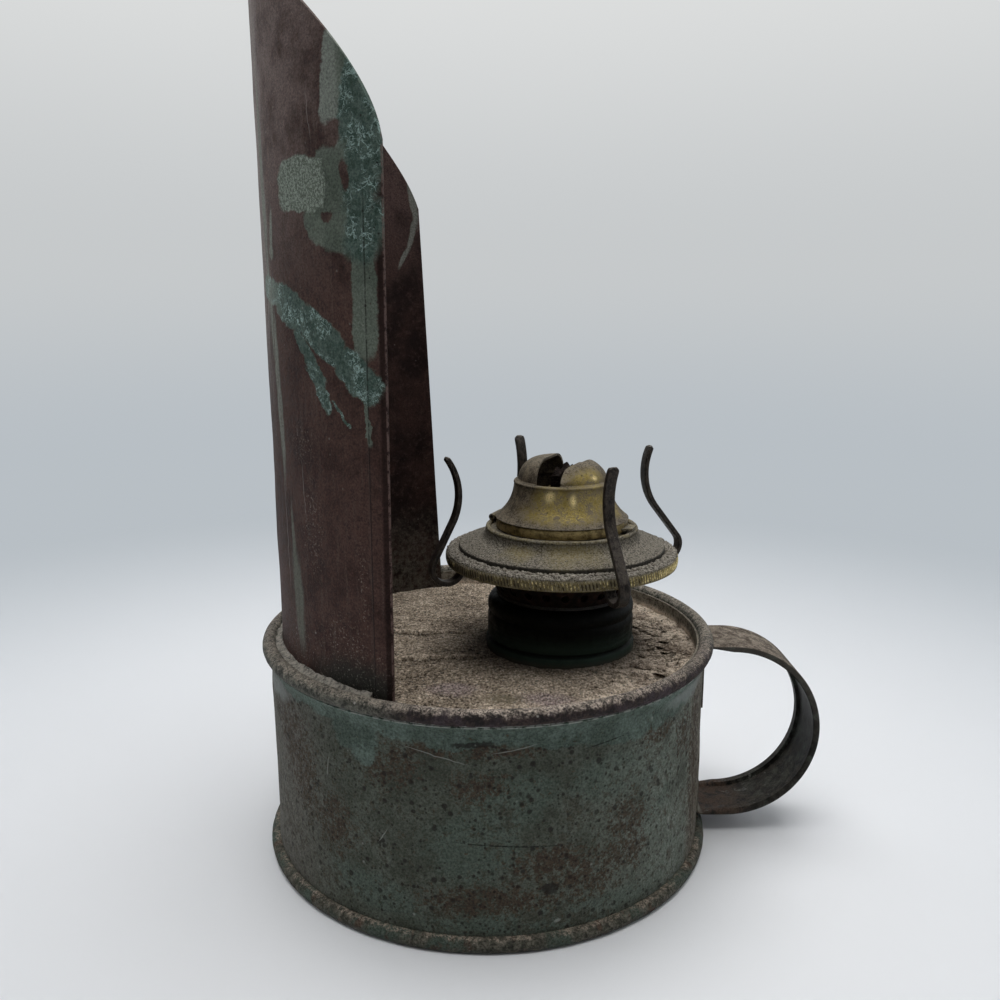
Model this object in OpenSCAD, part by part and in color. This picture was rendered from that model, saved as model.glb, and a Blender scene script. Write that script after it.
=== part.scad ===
// Reflector oil lamp: a round tinplate font with a strap handle, a tall curved reflector
// soldered inside its top rim, and a flat-wick brass burner that lifts out of a threaded collar.
// Millimetres. The origin is on the axis of the font, on the table. +X points to the handle.

/* [Font] */
// Outer diameter of the side band
font_d = 80; // [79:0.5:81]
// Height of the recessed top plate above the table
font_h = 35.6; // [35.3:0.1:36]
// Height of the middle of the rolled seam round the top
seam_z = 39; // [38.6:0.1:39.4]
// Thickness of the tinned sheet
sheet_t = 0.5; // [0.4:0.05:0.55]
// Outer diameter of the rolled seam round the top
top_rim_d = 83.4; // [83.2:0.1:83.8]
// Radius of the roll in the top seam
top_roll_r = 1.35; // [1.3:0.05:1.4]
// Outer diameter of the rolled seam round the foot
foot_bead_d = 83.2; // [83:0.1:83.6]
// Height of the rolled seam round the foot
foot_bead_h = 2.4; // [2.2:0.1:2.6]

/* [Handle] */
// Width of the strap
strap_w = 12.3; // [10:0.1:14]
// Outer radius of the loop
loop_r = 17; // [16:0.1:17.2]
// Distance of the loop's centre from the side band
loop_out = 5.3; // [4:0.1:7]
// Thickness of the strap between its hems
strap_t = 0.6; // [0.5:0.05:0.8]
// Width of the hem folded in along each edge
strap_hem_w = 2; // [1.5:0.1:2.5]
// Length of the upper end soldered down the side band
upper_tab = 12; // [8:1:16]
// Length of the lower end soldered up the side band
lower_tab = 8; // [6:1:10]

/* [Reflector] */
// Outer radius of the reflector where it stands on the top plate
reflector_r = 38.05; // [37.65:0.1:38.05]
// How much wider the reflector is at the start of its arch
reflector_flare = 0.8; // [0:0.1:1.2]
// Height at which the near front edge ends and the arch starts
arch_z = 119; // [110:1:125]
// How much lower the arch starts at the far front edge
arch_drop = 5; // [0:0.5:8]
// Half of the width of the arch seen from the burner
arch_half_w = 36.1; // [36:0.05:36.8]
// Rise of the arch above the middle of its foot
arch_rise = 36.2; // [35:0.1:37]
// Distance of the near front edge behind the font axis
near_edge_x = 14.5; // [12:0.5:17]
// Distance of the far front edge behind the font axis at its foot
far_edge_foot_x = 10.7; // [8:0.1:15]
// Distance of the far front edge behind the font axis at the start of the arch
far_edge_top_x = 15; // [12:0.1:17]
// Width of the hem folded back along both front edges, measured along X
reflector_hem = 2.8; // [2:0.1:3.5]

/* [Burner] */
// Distance of the burner axis from the font axis, toward the handle
burner_x = 13.5; // [11:0.5:14]
// Major diameter of the burner thread, seven eighths of an inch
thread_d = 22.2; // [22.2]
// Height of the collar above the top plate
collar_h = 10.5; // [10:0.1:11]
// Outer diameter of the knurled gallery rim
gallery_d = 42.7; // [42.3:0.1:43]
// Width of the cotton wick
wick_w = 9.5; // [9:0.1:9.6]
// Thickness of the cotton wick
wick_t = 2; // [1.6:0.1:2]
// Height of the wick's top above the table
wick_top_z = 70.2; // [69.5:0.1:70.8]
// Width of the flame slot in the cone
slot_w = 4.6; // [4:0.1:5]
// Direction of the wick and the flame slot, from +X
slot_az = 67; // [65:1:69]

/* [Wick raiser] */
// Diameter of the raiser shaft
shaft_d = 1.6; // [1.4:0.1:1.6]
// Tip diameter of each spur wheel
spur_d = 6; // [5:0.2:6]
// Teeth on each spur wheel
spur_teeth = 12; // [10:1:14]
// Diameter of the thumbwheel
thumbwheel_d = 10; // [9:0.5:11]
// Thickness of the thumbwheel
thumbwheel_t = 1.2; // [1:0.1:1.4]

/* [Chimney prongs] */
// Width of the spring strip
strip_w = 2; // [1.8:0.1:2.2]
// Thickness of the spring strip
strip_t = 0.9; // [0.8:0.05:0.9]
// Direction of the front prong, from +X; the others follow every 90 degrees
prong_az = -70; // [-72:1:-68]
// Outward lean of the front prong as bent by use
front_lean = -6; // [-8:0.5:2]
// Outward lean of the right prong as bent by use
right_lean = -12; // [-12:0.5:2]
// Outward lean of the back prong as bent by use
back_lean = -2; // [-8:0.5:2]
// Outward lean of the left prong as bent by use
left_lean = 0; // [-8:0.5:2]

/* [Hidden] */

// Smoothness of large and small rounds
big_fn = 180;
small_fn = 48;
// Overlap that keeps a cut clear of a face
cut = 1;

// Colours of the worn finishes
paint = "#4f625c";
dusty = "#8a7c6c";
rust = "#5d4a44";
tin = "#4a3a3a";
dark_green = "#18241f";
brass = "#8d7a3f";
dull_brass = "#6f675a";
steel = "#35302d";
cotton = "#2b2623";

// Font
font_r = font_d / 2;
top_roll_z = seam_z;
top_roll_c = top_rim_d / 2 - top_roll_r;
// The side band flares out to the seam over this radius, starting this far under the seam
flare_r = 5;
flare_z = seam_z - 4.2;
flare_angle = 34;
// The top plate turns up inside the seam
flange_r = 38.65;
flange_top_z = seam_z + 0.3;
// The foot seam folds under the side band by one lip
foot_lip_t = 0.6;
foot_lip_r = 38.7;
foot_roll_r = foot_bead_h / 2;
foot_roll_c = foot_bead_d / 2 - foot_roll_r;

// Collar
collar_r = 13.6;
collar_foot_r = 13.9;
collar_wall = 0.5;
collar_top_z = font_h + collar_h;
thread_r = thread_d / 2;
thread_depth = 0.3;
thread_pitch = 1.8;
thread_fit = 0.3;
thread_turns = 4;
collar_crest_r = thread_r + thread_fit;
collar_bore_r = collar_crest_r + thread_depth;
collar_hole_r = collar_bore_r + 0.7;
// The collar's foot is spread, and two grooves and a rounded shoulder are rolled in above it
collar_foot_h = 2.2;
collar_groove = 0.35;
collar_foot_groove_z = font_h + 2.5;
collar_top_groove_z = collar_top_z - 3.1;
collar_groove_half = 0.7;
collar_shoulder_r = 1.7;
collar_thread_z = font_h + 2.2;
collar_hollow_h = collar_h - 5;

// Handle
loop_x = font_r + loop_out;
loop_z = seam_z - 18.6;
handle_top_z = loop_z + loop_r;
handle_foot_z = loop_z - loop_r;
strap_angle = asin(strap_w / 2 / font_r);

// Reflector
reflector_top_z = arch_z + arch_rise + 2 * cut;
flare_per_mm = reflector_flare / (arch_z - font_h);
reflector_spread = 80;
solder_spread = 60;
solder_top_z = seam_z + 1.5;

// Burner heights and radii
burner_seat_z = collar_top_z + 0.1;
burner_flange_t = 0.5;
shell_bottom_z = font_h + 2.4;
shell_wall = 0.4;
shell_root_r = thread_r - thread_depth;
web_z = collar_top_z - 2.6;
gallery_wall = 0.45;
gallery_r = gallery_d / 2;
skirt_z = collar_top_z + 6.4;
rim_roll_r = 0.95;
seat_z = skirt_z + 2.2;
ridge_r = 19;
ridge_rise = 0.6;
slope_angle = 15.6;
cove_r = 1.9;
cove_c = 15.95;
cove_z = seat_z + 3.75;
neck_bead_r = 0.45;
neck_bead_z = seat_z + 4;
neck_bead_c = 13.6;
ledge_r = 11.4;
basket_foot_r = 11.8;
basket_foot_lap = 0.2;
basket_top_r = 16.8;
basket_top_z = seat_z + 1.05;
basket_holes = 24;
basket_hole_d = 1.5;
// Heights of the two rows of air holes in the basket
basket_rows_z = [basket_top_z - 1.85, basket_top_z - 7.15];
plate_z = seat_z + 3;
plate_hole_d = 1.2;
// Radius and number of holes of each ring in the air plate
plate_rings = [[12, 30], [9.6, 24], [7.4, 18]];

// Wick tube
tube_gap = 0.2;
tube_wall = 0.4;
tube_in_w = wick_w + 3.5 * tube_gap;
tube_in_t = wick_t + 2 * tube_gap;
tube_w = tube_in_w + 2 * tube_wall;
tube_t = tube_in_t + 2 * tube_wall;
tube_bottom_z = font_h + 3;
tube_top_z = wick_top_z - 3.5;
wick_bottom_z = 8;

// Raiser
shaft_r = shaft_d / 2;
shaft_fit = 0.05;
spur_r = spur_d / 2;
spur_root_r = spur_r - 0.6;
spur_t = 1;
spur_place = 2.5;
spur_gap = 0.1;
shaft_off = wick_t / 2 + spur_gap + spur_r;
shaft_z = skirt_z - 2;
shaft_near = -7.5;
shaft_far = 27;
thumbwheel_place = 25;
thumbwheel_notches = 32;
thumbwheel_notch_r = 0.3;
bearing_t = 0.6;
bearing_place = -tube_w / 2 - bearing_t;
bearing_h = 3.6;

// Cone
cone_wall = 0.4;
cone_z = neck_bead_z + 0.3;
band_h = 1.7;
band_r = 12.1;
shoulder_z = cone_z + band_h + 0.1;
flare_c = 17.15;
flare_c_z = cone_z + 8.5;
cone_flare_r = 8.3;
cone_bead_z = cone_z + 8.2;
cone_bead_r = 0.3;
cone_bead_sink = 0.2;
dome_r = 4.25;
dome_c = 3.9;
dome_z = cone_z + 8.5;
slot_z = cone_bead_z + 0.3;

// Cone hinge, opposite the lift tab
hinge_az = slot_az + 90;
hinge_r = 13.1;
hinge_z = cone_z + 0.8;
knuckle_r = 0.6;
pin_r = 0.3;
pin_fit = 0.05;
knuckle_w = 2;
knuckle_gap = 0.15;
side_knuckle_w = 1.2;
leaf_t = 0.4;
tab_root_w = 5;
tab_tip_w = 3;
tab_out = 1.7;
tab_z = cone_z + 0.4;

// Prongs: a short foot under the ring, a hook under the rim, a straight leg and a curled tip
ring_in = 18.6;
ring_out = 20.4;
ring_t = 0.3;
hook_r = 2.8;
hook_c = 22.3;
hook_z = skirt_z + 0.3;
foot_rise = 1;
leg_lean = 27;
leg_l = 7.8;
tip_r = 11;
tip_angle = 38;
// Short straight steps in each bend
bend_steps = 24;

// Points of an arc in the plane of a profile
function arc(cx, cz, r, a0, a1, n = 12) =
  [for (i = [0:n]) let (a = a0 + (a1 - a0) * i / n) [cx + r * cos(a), cz + r * sin(a)]];

// V-shaped thread crests between two heights, from root radius to crest radius, going up
function thread_line(root, crest, z0, turns) =
  [for (i = [0:turns - 1], p = [0, 1]) [p == 0 ? root : crest, z0 + (i + p / 2) * thread_pitch]];

// Moves a shape drawn round the Z axis onto the burner axis
module at_burner() {
  translate([burner_x, 0, 0])
    children();
}

// Burner frame turned so that X runs along the wick
module along_slot() {
  at_burner()
    rotate([0, 0, slot_az])
      children();
}

// Oval section of the wick and its tube
module oval(w, t) {
  square([w - t, t], center = true);
  for (side = [-1, 1])
    translate([side * (w - t) / 2, 0])
      circle(d = t, $fn = small_fn);
}

// Round bar along X of the slot frame, at the height and offset of the raiser shaft
module shaft_bar(r, x0, x1) {
  translate([x0, shaft_off, shaft_z])
    rotate([0, 90, 0])
      cylinder(r = r, h = x1 - x0, $fn = small_fn);
}

// Outer profile of the side band, straight and then flared to the seam
function band_outer(z0) =
  concat([[font_r, z0]], arc(font_r + flare_r, flare_z, flare_r, 180, 180 - flare_angle));

module top_roll() {
  rotate_extrude($fn = big_fn)
    translate([top_roll_c, top_roll_z])
      circle(r = top_roll_r, $fn = small_fn);
}

module font_side() {
  color(paint)
    difference() {
      rotate_extrude($fn = big_fn)
        polygon(concat(
          band_outer(foot_lip_t),
          arc(font_r + flare_r, flare_z, flare_r + sheet_t, 180 - flare_angle, 180),
          [[font_r - sheet_t, foot_lip_t]]
        ));
      top_roll();
    }
}

module font_top() {
  color(dusty)
    difference() {
      rotate_extrude($fn = big_fn)
        polygon([
          [0, font_h - sheet_t],
          [font_r - sheet_t, font_h - sheet_t],
          [font_r - sheet_t, flange_top_z],
          [flange_r, flange_top_z],
          [flange_r, font_h],
          [0, font_h]
        ]);
      top_roll();
      at_burner()
        translate([0, 0, font_h - sheet_t - cut])
          cylinder(r = collar_hole_r, h = sheet_t + 2 * cut, $fn = big_fn);
    }
}

module top_rim() {
  color(rust)
    top_roll();
}

module font_base() {
  color(rust)
    translate([0, 0, foot_lip_t])
      cylinder(r = font_r - sheet_t, h = sheet_t, $fn = big_fn);
}

module foot_bead() {
  color(dusty)
    rotate_extrude($fn = big_fn)
      difference() {
        union() {
          translate([foot_roll_c, foot_roll_r])
            circle(r = foot_roll_r, $fn = small_fn);
          translate([foot_lip_r, 0])
            square([foot_roll_c - foot_lip_r, foot_lip_t]);
        }
        translate([foot_lip_r - cut, foot_lip_t])
          square([font_r - foot_lip_r + cut, foot_bead_h]);
      }
}

module collar() {
  groove_r = collar_r - collar_groove;
  inner_wall_r = collar_bore_r + collar_wall;
  outer_wall_r = groove_r - collar_wall / 2;
  thread = thread_line(collar_bore_r, collar_crest_r, collar_thread_z, thread_turns);
  color(dark_green)
    at_burner()
      rotate_extrude($fn = big_fn)
        difference() {
          polygon(concat(
            [[collar_bore_r, font_h - cut], [collar_hole_r, font_h - cut], [collar_hole_r, font_h]],
            [[collar_foot_r, font_h], [collar_foot_r, font_h + collar_foot_h]],
            [[groove_r, collar_foot_groove_z], [collar_r, collar_foot_groove_z + collar_groove_half]],
            [[collar_r, collar_top_groove_z - collar_groove_half]],
            [[groove_r, collar_top_groove_z], [collar_r, collar_top_groove_z + collar_groove_half]],
            arc(collar_r - collar_shoulder_r, collar_top_z - collar_shoulder_r, collar_shoulder_r, 0, 90),
            [[collar_bore_r, collar_top_z]],
            [[collar_bore_r, collar_thread_z + thread_turns * thread_pitch]],
            [for (i = [len(thread) - 1:-1:0]) thread[i]]
          ));
          translate([inner_wall_r, font_h])
            square([outer_wall_r - inner_wall_r, collar_hollow_h]);
        }
}

// Side view of the handle loop, with its inside offset by the strap's thickness
module loop_side(t) {
  difference() {
    union() {
      translate([loop_x, loop_z])
        circle(r = loop_r, $fn = big_fn);
      translate([font_r - cut, handle_foot_z])
        square([loop_out + cut, 2 * loop_r]);
    }
    translate([loop_x, loop_z])
      circle(r = loop_r - t, $fn = big_fn);
    translate([font_r - 2 * cut, handle_foot_z + t])
      square([loop_out + 2 * cut, 2 * (loop_r - t)]);
  }
}

module handle() {
  color(rust)
    difference() {
      union() {
        rotate([90, 0, 0])
          linear_extrude(height = strap_w, center = true)
            loop_side(strap_t);
        for (side = [-1, 1])
          translate([0, side * (strap_w - strap_hem_w) / 2, 0])
            rotate([90, 0, 0])
              linear_extrude(height = strap_hem_w, center = true)
                loop_side(2 * strap_t);
        for (tab = [[handle_top_z - upper_tab, upper_tab], [handle_foot_z, lower_tab]])
          rotate([0, 0, -strap_angle])
            translate([0, 0, tab[0]])
              rotate_extrude(angle = 2 * strap_angle, $fn = big_fn)
                translate([font_r - cut, 0])
                  square([strap_t + cut, tab[1]]);
      }
      rotate_extrude($fn = big_fn)
        polygon(concat([[0, -cut]], band_outer(-cut), [[0, handle_top_z + cut]]));
    }
}

// Side view of what lies behind a front edge, given the edge's place at its foot and at the arch
module behind_edge(foot_x, top_x) {
  slope = (top_x - foot_x) / (arch_z - font_h);
  polygon([
    [-font_d, font_h - cut],
    [-foot_x + slope * cut, font_h - cut],
    [-foot_x - slope * (reflector_top_z - font_h), reflector_top_z],
    [-font_d, reflector_top_z]
  ]);
}

// Space behind both front edges, moved back by a distance
module behind_front_edges(back) {
  translate([0, cut, 0])
    rotate([90, 0, 0])
      linear_extrude(height = font_d + cut)
        behind_edge(near_edge_x + back, near_edge_x + back);
  translate([0, font_d, 0])
    rotate([90, 0, 0])
      linear_extrude(height = font_d)
        behind_edge(far_edge_foot_x + back, far_edge_top_x + back);
}

// Flared sheet between two radii at its foot, all the way up
module flared_sheet(r0, r1) {
  rise = reflector_top_z - font_h;
  rotate([0, 0, 180 - reflector_spread])
    rotate_extrude(angle = 2 * reflector_spread, $fn = big_fn)
      polygon([
        [r0, font_h],
        [r1, font_h],
        [r1 + flare_per_mm * rise, reflector_top_z],
        [r0 + flare_per_mm * rise, reflector_top_z]
      ]);
}

// Arch seen from the burner, down to the foot, with its far side lower than its near side
module arch_space() {
  slope = arch_drop / (2 * arch_half_w);
  middle_z = arch_z - arch_drop / 2;
  rotate([90, 0, -90])
    linear_extrude(height = font_d)
      polygon(concat(
        [[-font_r, middle_z - slope * arch_half_w], [-font_r, font_h - cut]],
        [[font_r, font_h - cut], [font_r, middle_z + slope * arch_half_w]],
        [for (a = [0:2:180])
          let (y = arch_half_w * cos(a)) [y, middle_z + slope * y + arch_rise * sin(a)]]
      ));
}

module reflector() {
  color(tin)
    intersection() {
      union() {
        intersection() {
          flared_sheet(reflector_r - sheet_t, reflector_r);
          behind_front_edges(0);
        }
        intersection() {
          flared_sheet(reflector_r, reflector_r + sheet_t);
          difference() {
            behind_front_edges(0);
            behind_front_edges(reflector_hem);
          }
        }
      }
      arch_space();
    }
}

module reflector_solder() {
  color(dull_brass)
    rotate([0, 0, 180 - solder_spread])
      rotate_extrude(angle = 2 * solder_spread, $fn = big_fn)
        polygon([
          [reflector_r, font_h],
          [flange_r, font_h],
          [flange_r, flange_top_z],
          [reflector_r + flare_per_mm * (solder_top_z - font_h), solder_top_z]
        ]);
}

module thread_shell() {
  flange_r = basket_foot_r + basket_foot_lap;
  color(dull_brass)
    along_slot() {
      rotate_extrude($fn = big_fn)
        polygon(concat(
          [[shell_root_r - shell_wall, shell_bottom_z]],
          thread_line(shell_root_r, thread_r, shell_bottom_z, thread_turns),
          [[shell_root_r, shell_bottom_z + thread_turns * thread_pitch], [shell_root_r, burner_seat_z]],
          [[flange_r, burner_seat_z], [flange_r, burner_seat_z + burner_flange_t]],
          [[shell_root_r - shell_wall, burner_seat_z + burner_flange_t]]
        ));
      difference() {
        translate([0, 0, web_z])
          cylinder(r = shell_root_r - shell_wall / 2, h = burner_flange_t, $fn = big_fn);
        translate([0, 0, web_z - cut])
          linear_extrude(height = burner_flange_t + 2 * cut)
            oval(tube_w, tube_t);
      }
    }
}

module air_basket() {
  foot_z = burner_seat_z + burner_flange_t;
  color(dull_brass)
    along_slot()
      difference() {
        rotate_extrude($fn = big_fn)
          polygon([
            [basket_foot_r - shell_wall, foot_z],
            [basket_foot_r, foot_z],
            [basket_top_r, basket_top_z],
            [basket_top_r - shell_wall, basket_top_z]
          ]);
        for (z = basket_rows_z, i = [0:basket_holes - 1])
          rotate([0, 0, (i + 0.5) * 360 / basket_holes])
            translate([basket_foot_r - 2 * cut, 0, z])
              rotate([0, 90, 0])
                cylinder(d = basket_hole_d, h = 4 * cut + basket_top_r - basket_foot_r, $fn = small_fn);
        shaft_bar(shaft_r + shaft_fit, basket_foot_r - 2 * cut, basket_top_r + cut);
      }
}

// Section of the gallery sheet from the skirt over the chimney seat, ridge and cove to the neck
function gallery_section() =
  let (
    t = gallery_wall,
    roll_c = gallery_r - rim_roll_r,
    crest_z = seat_z + ridge_rise
  )
  concat(
    [[gallery_r, skirt_z]],
    arc(roll_c, seat_z - rim_roll_r, rim_roll_r, 0, 90),
    [[ridge_r, seat_z]],
    arc(ridge_r - t, crest_z, t, 0, 90 - slope_angle, 4),
    arc(cove_c, cove_z, cove_r, 270 - slope_angle, 180),
    [[cove_c - cove_r, neck_bead_z], [ledge_r, neck_bead_z], [ledge_r, neck_bead_z - t]],
    [[cove_c - cove_r - t, neck_bead_z - t]],
    arc(cove_c, cove_z, cove_r + t, 180, 270 - slope_angle),
    [[ridge_r - t, crest_z], [ridge_r - t, seat_z - t]],
    arc(roll_c, seat_z - rim_roll_r, rim_roll_r - t, 90, 0),
    [[gallery_r - t, skirt_z]]
  );

// Rolled knuckle round the cone's hinge line, w wide, centred at y along it
module knuckle(y, w) {
  translate([hinge_r, y - w / 2, hinge_z])
    rotate([-90, 0, 0])
      cylinder(r = knuckle_r, h = w, $fn = small_fn);
}

// Hole along the cone's hinge line
module hinge_hole(r) {
  translate([hinge_r, -knuckle_w * 2, hinge_z])
    rotate([-90, 0, 0])
      cylinder(r = r, h = knuckle_w * 4, $fn = small_fn);
}

module gallery() {
  side_y = knuckle_w / 2 + knuckle_gap + side_knuckle_w / 2;
  color(dull_brass)
    difference() {
      union() {
        at_burner() {
          rotate_extrude($fn = big_fn)
            polygon(gallery_section());
          rotate_extrude($fn = big_fn)
            translate([neck_bead_c, neck_bead_z])
              circle(r = neck_bead_r, $fn = small_fn);
        }
        at_burner()
          rotate([0, 0, hinge_az])
            for (side = [-1, 1]) {
              knuckle(side * side_y, side_knuckle_w);
              translate([hinge_r - leaf_t / 2, side * side_y - side_knuckle_w / 2, neck_bead_z])
                cube([leaf_t, side_knuckle_w, hinge_z - neck_bead_z]);
            }
      }
      at_burner()
        rotate([0, 0, hinge_az])
          hinge_hole(pin_r);
    }
}

module air_plate() {
  plate_r = cove_c - cove_r - gallery_wall;
  color(dull_brass)
    along_slot()
      translate([0, 0, plate_z])
        linear_extrude(height = shell_wall)
          difference() {
            circle(r = plate_r, $fn = big_fn);
            oval(tube_w, tube_t);
            for (ring = plate_rings, i = [0:ring[1] - 1])
              rotate(i * 360 / ring[1])
                translate([ring[0], 0])
                  circle(d = plate_hole_d, $fn = small_fn);
          }
}

module wick_tube() {
  color(dull_brass)
    along_slot()
      difference() {
        translate([0, 0, tube_bottom_z])
          linear_extrude(height = tube_top_z - tube_bottom_z)
            difference() {
              oval(tube_w, tube_t);
              oval(tube_in_w, tube_in_t);
            }
        for (side = [-1, 1])
          translate([side * spur_place - spur_t, 0, shaft_z - spur_r])
            cube([2 * spur_t, tube_t, 2 * spur_r]);
      }
}

module shaft_bearing() {
  color(dull_brass)
    along_slot()
      difference() {
        translate([bearing_place, -tube_t / 2, shaft_z - bearing_h / 2])
          union() {
            cube([bearing_t, tube_t / 2 + shaft_off + bearing_h / 2, bearing_h]);
            cube([bearing_t + tube_t / 2, tube_t, bearing_h]);
          }
        translate([0, 0, tube_bottom_z])
          linear_extrude(height = tube_top_z - tube_bottom_z)
            oval(tube_w, tube_t);
        shaft_bar(shaft_r + shaft_fit, bearing_place - cut, bearing_place + bearing_t + cut);
      }
}

module prong_ring() {
  color(steel)
    at_burner()
      translate([0, 0, seat_z - gallery_wall - ring_t])
        rotate_extrude($fn = big_fn)
          translate([ring_in, 0])
            square([ring_out - ring_in, ring_t]);
}

module hinge_pin() {
  pin_l = knuckle_w + 2 * (knuckle_gap + side_knuckle_w);
  color(steel)
    at_burner()
      rotate([0, 0, hinge_az])
        translate([hinge_r, -pin_l / 2, hinge_z])
          rotate([-90, 0, 0])
            cylinder(r = pin_r, h = pin_l, $fn = small_fn);
}

module wick() {
  color(cotton)
    along_slot()
      translate([0, 0, wick_bottom_z])
        linear_extrude(height = wick_top_z - wick_bottom_z)
          oval(wick_w, wick_t);
}

module raiser_shaft() {
  color(steel)
    along_slot()
      shaft_bar(shaft_r, shaft_near, shaft_far);
}

// Toothed wheel on the raiser shaft, centred at x along it
module spur_wheel(x) {
  color(brass)
    along_slot()
      translate([x - spur_t / 2, shaft_off, shaft_z])
        rotate([90, 0, 90])
          linear_extrude(height = spur_t)
            difference() {
              polygon([
                for (i = [0:spur_teeth - 1], p = [-1, 1])
                  let (r = p < 0 ? spur_root_r : spur_r, a = (i + p / 4) * 360 / spur_teeth)
                    [r * cos(a), r * sin(a)]
              ]);
              circle(r = shaft_r, $fn = small_fn);
            }
}

module spur_wheel_near() {
  spur_wheel(-spur_place);
}

module spur_wheel_far() {
  spur_wheel(spur_place);
}

module thumbwheel() {
  r = thumbwheel_d / 2;
  color(brass)
    along_slot()
      translate([thumbwheel_place, shaft_off, shaft_z])
        rotate([90, 0, 90])
          linear_extrude(height = thumbwheel_t)
            difference() {
              circle(r = r, $fn = big_fn);
              circle(r = shaft_r, $fn = small_fn);
              for (i = [0:thumbwheel_notches - 1])
                rotate(i * 360 / thumbwheel_notches)
                  translate([r, 0])
                    circle(r = thumbwheel_notch_r, $fn = small_fn);
            }
}

// Section of the cone sheet: band, shoulder, concave flare and dome
function cone_section() =
  let (
    t = cone_wall,
    foot_a = 180 + asin((flare_c_z - shoulder_z) / cone_flare_r),
    top_a = 180 + asin((flare_c_z - cone_bead_z) / cone_flare_r)
  )
  concat(
    [[band_r, cone_z], [band_r, cone_z + band_h]],
    arc(flare_c, flare_c_z, cone_flare_r, foot_a, top_a),
    arc(dome_c, dome_z, dome_r, 0, 90),
    [[0, dome_z + dome_r], [0, dome_z + dome_r - t]],
    arc(dome_c, dome_z, dome_r - t, 90, 0),
    arc(flare_c, flare_c_z, cone_flare_r + t, top_a, foot_a),
    [[band_r - t, cone_z + band_h - t], [band_r - t, cone_z]]
  );

module cone() {
  bead_c = flare_c - cone_flare_r - cone_bead_sink;
  color(brass)
    difference() {
      union() {
        at_burner() {
          rotate_extrude($fn = big_fn)
            polygon(cone_section());
          rotate_extrude($fn = big_fn)
            translate([bead_c, cone_bead_z])
              circle(r = cone_bead_r, $fn = small_fn);
        }
        at_burner()
          rotate([0, 0, hinge_az]) {
            knuckle(0, knuckle_w);
            translate([band_r - cone_wall / 2, -knuckle_w / 2, hinge_z - leaf_t / 2])
              cube([hinge_r - band_r, knuckle_w, leaf_t]);
          }
      }
      at_burner()
        rotate([0, 0, hinge_az])
          hinge_hole(pin_r + pin_fit);
      along_slot()
        translate([-font_r, -slot_w / 2, slot_z])
          cube([font_d, slot_w, dome_r * 2]);
    }
}

module lift_tab() {
  color(brass)
    at_burner()
      rotate([0, 0, hinge_az + 180])
        translate([0, 0, tab_z])
          linear_extrude(height = leaf_t)
            difference() {
              polygon([
                [band_r - cut, -tab_root_w / 2],
                [band_r + tab_out, -tab_tip_w / 2],
                [band_r + tab_out, tab_tip_w / 2],
                [band_r - cut, tab_root_w / 2]
              ]);
              circle(r = band_r, $fn = big_fn);
            }
}

// Side view of a prong's strip: the outer face up to the tip, then back down the inner face
module prong_side() {
  half = strip_t / 2;
  foot_x = hook_c - hook_r;
  leg_top_x = hook_c + hook_r * cos(leg_lean) - leg_l * sin(leg_lean);
  leg_top_z = hook_z + hook_r * sin(leg_lean) + leg_l * cos(leg_lean);
  tip_x = leg_top_x + tip_r * cos(leg_lean);
  tip_z = leg_top_z + tip_r * sin(leg_lean);
  polygon(concat(
    [[foot_x - half, hook_z + foot_rise]],
    arc(hook_c, hook_z, hook_r + half, -180, leg_lean, bend_steps),
    arc(tip_x, tip_z, tip_r - half, 180 + leg_lean, 180 - tip_angle, bend_steps),
    arc(tip_x, tip_z, tip_r + half, 180 - tip_angle, 180 + leg_lean, bend_steps),
    arc(hook_c, hook_z, hook_r - half, leg_lean, -180, bend_steps),
    [[foot_x + half, hook_z + foot_rise]]
  ));
}

// Spring strip prong at a direction round the burner, leaning out by an angle about its foot
module prong(az, lean) {
  foot_x = hook_c - hook_r;
  color(steel)
    at_burner()
      rotate([0, 0, az])
        translate([foot_x, 0, hook_z])
          rotate([0, lean, 0])
            translate([-foot_x, 0, -hook_z])
              rotate([90, 0, 0])
                linear_extrude(height = strip_w, center = true)
                  prong_side();
}

module prong_front() {
  prong(prong_az, front_lean);
}

module prong_right() {
  prong(prong_az + 90, right_lean);
}

module prong_back() {
  prong(prong_az + 180, back_lean);
}

module prong_left() {
  prong(prong_az - 90, left_lean);
}

font_side();
font_top();
top_rim();
font_base();
foot_bead();
collar();
handle();
reflector();
reflector_solder();
thread_shell();
air_basket();
gallery();
air_plate();
wick_tube();
shaft_bearing();
prong_ring();
hinge_pin();
wick();
raiser_shaft();
spur_wheel_near();
spur_wheel_far();
thumbwheel();
cone();
lift_tab();
prong_front();
prong_right();
prong_back();
prong_left();
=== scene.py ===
# Reflector oil lamp, dressed for a photograph: worn paint, rusty tin, settled dust and aged brass over the
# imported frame. Sizes in this file are millimetres until a mesh is made, when they become metres.
import itertools
import math

import bmesh
import bpy
import numpy as np
from mathutils import Matrix, Vector


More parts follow.
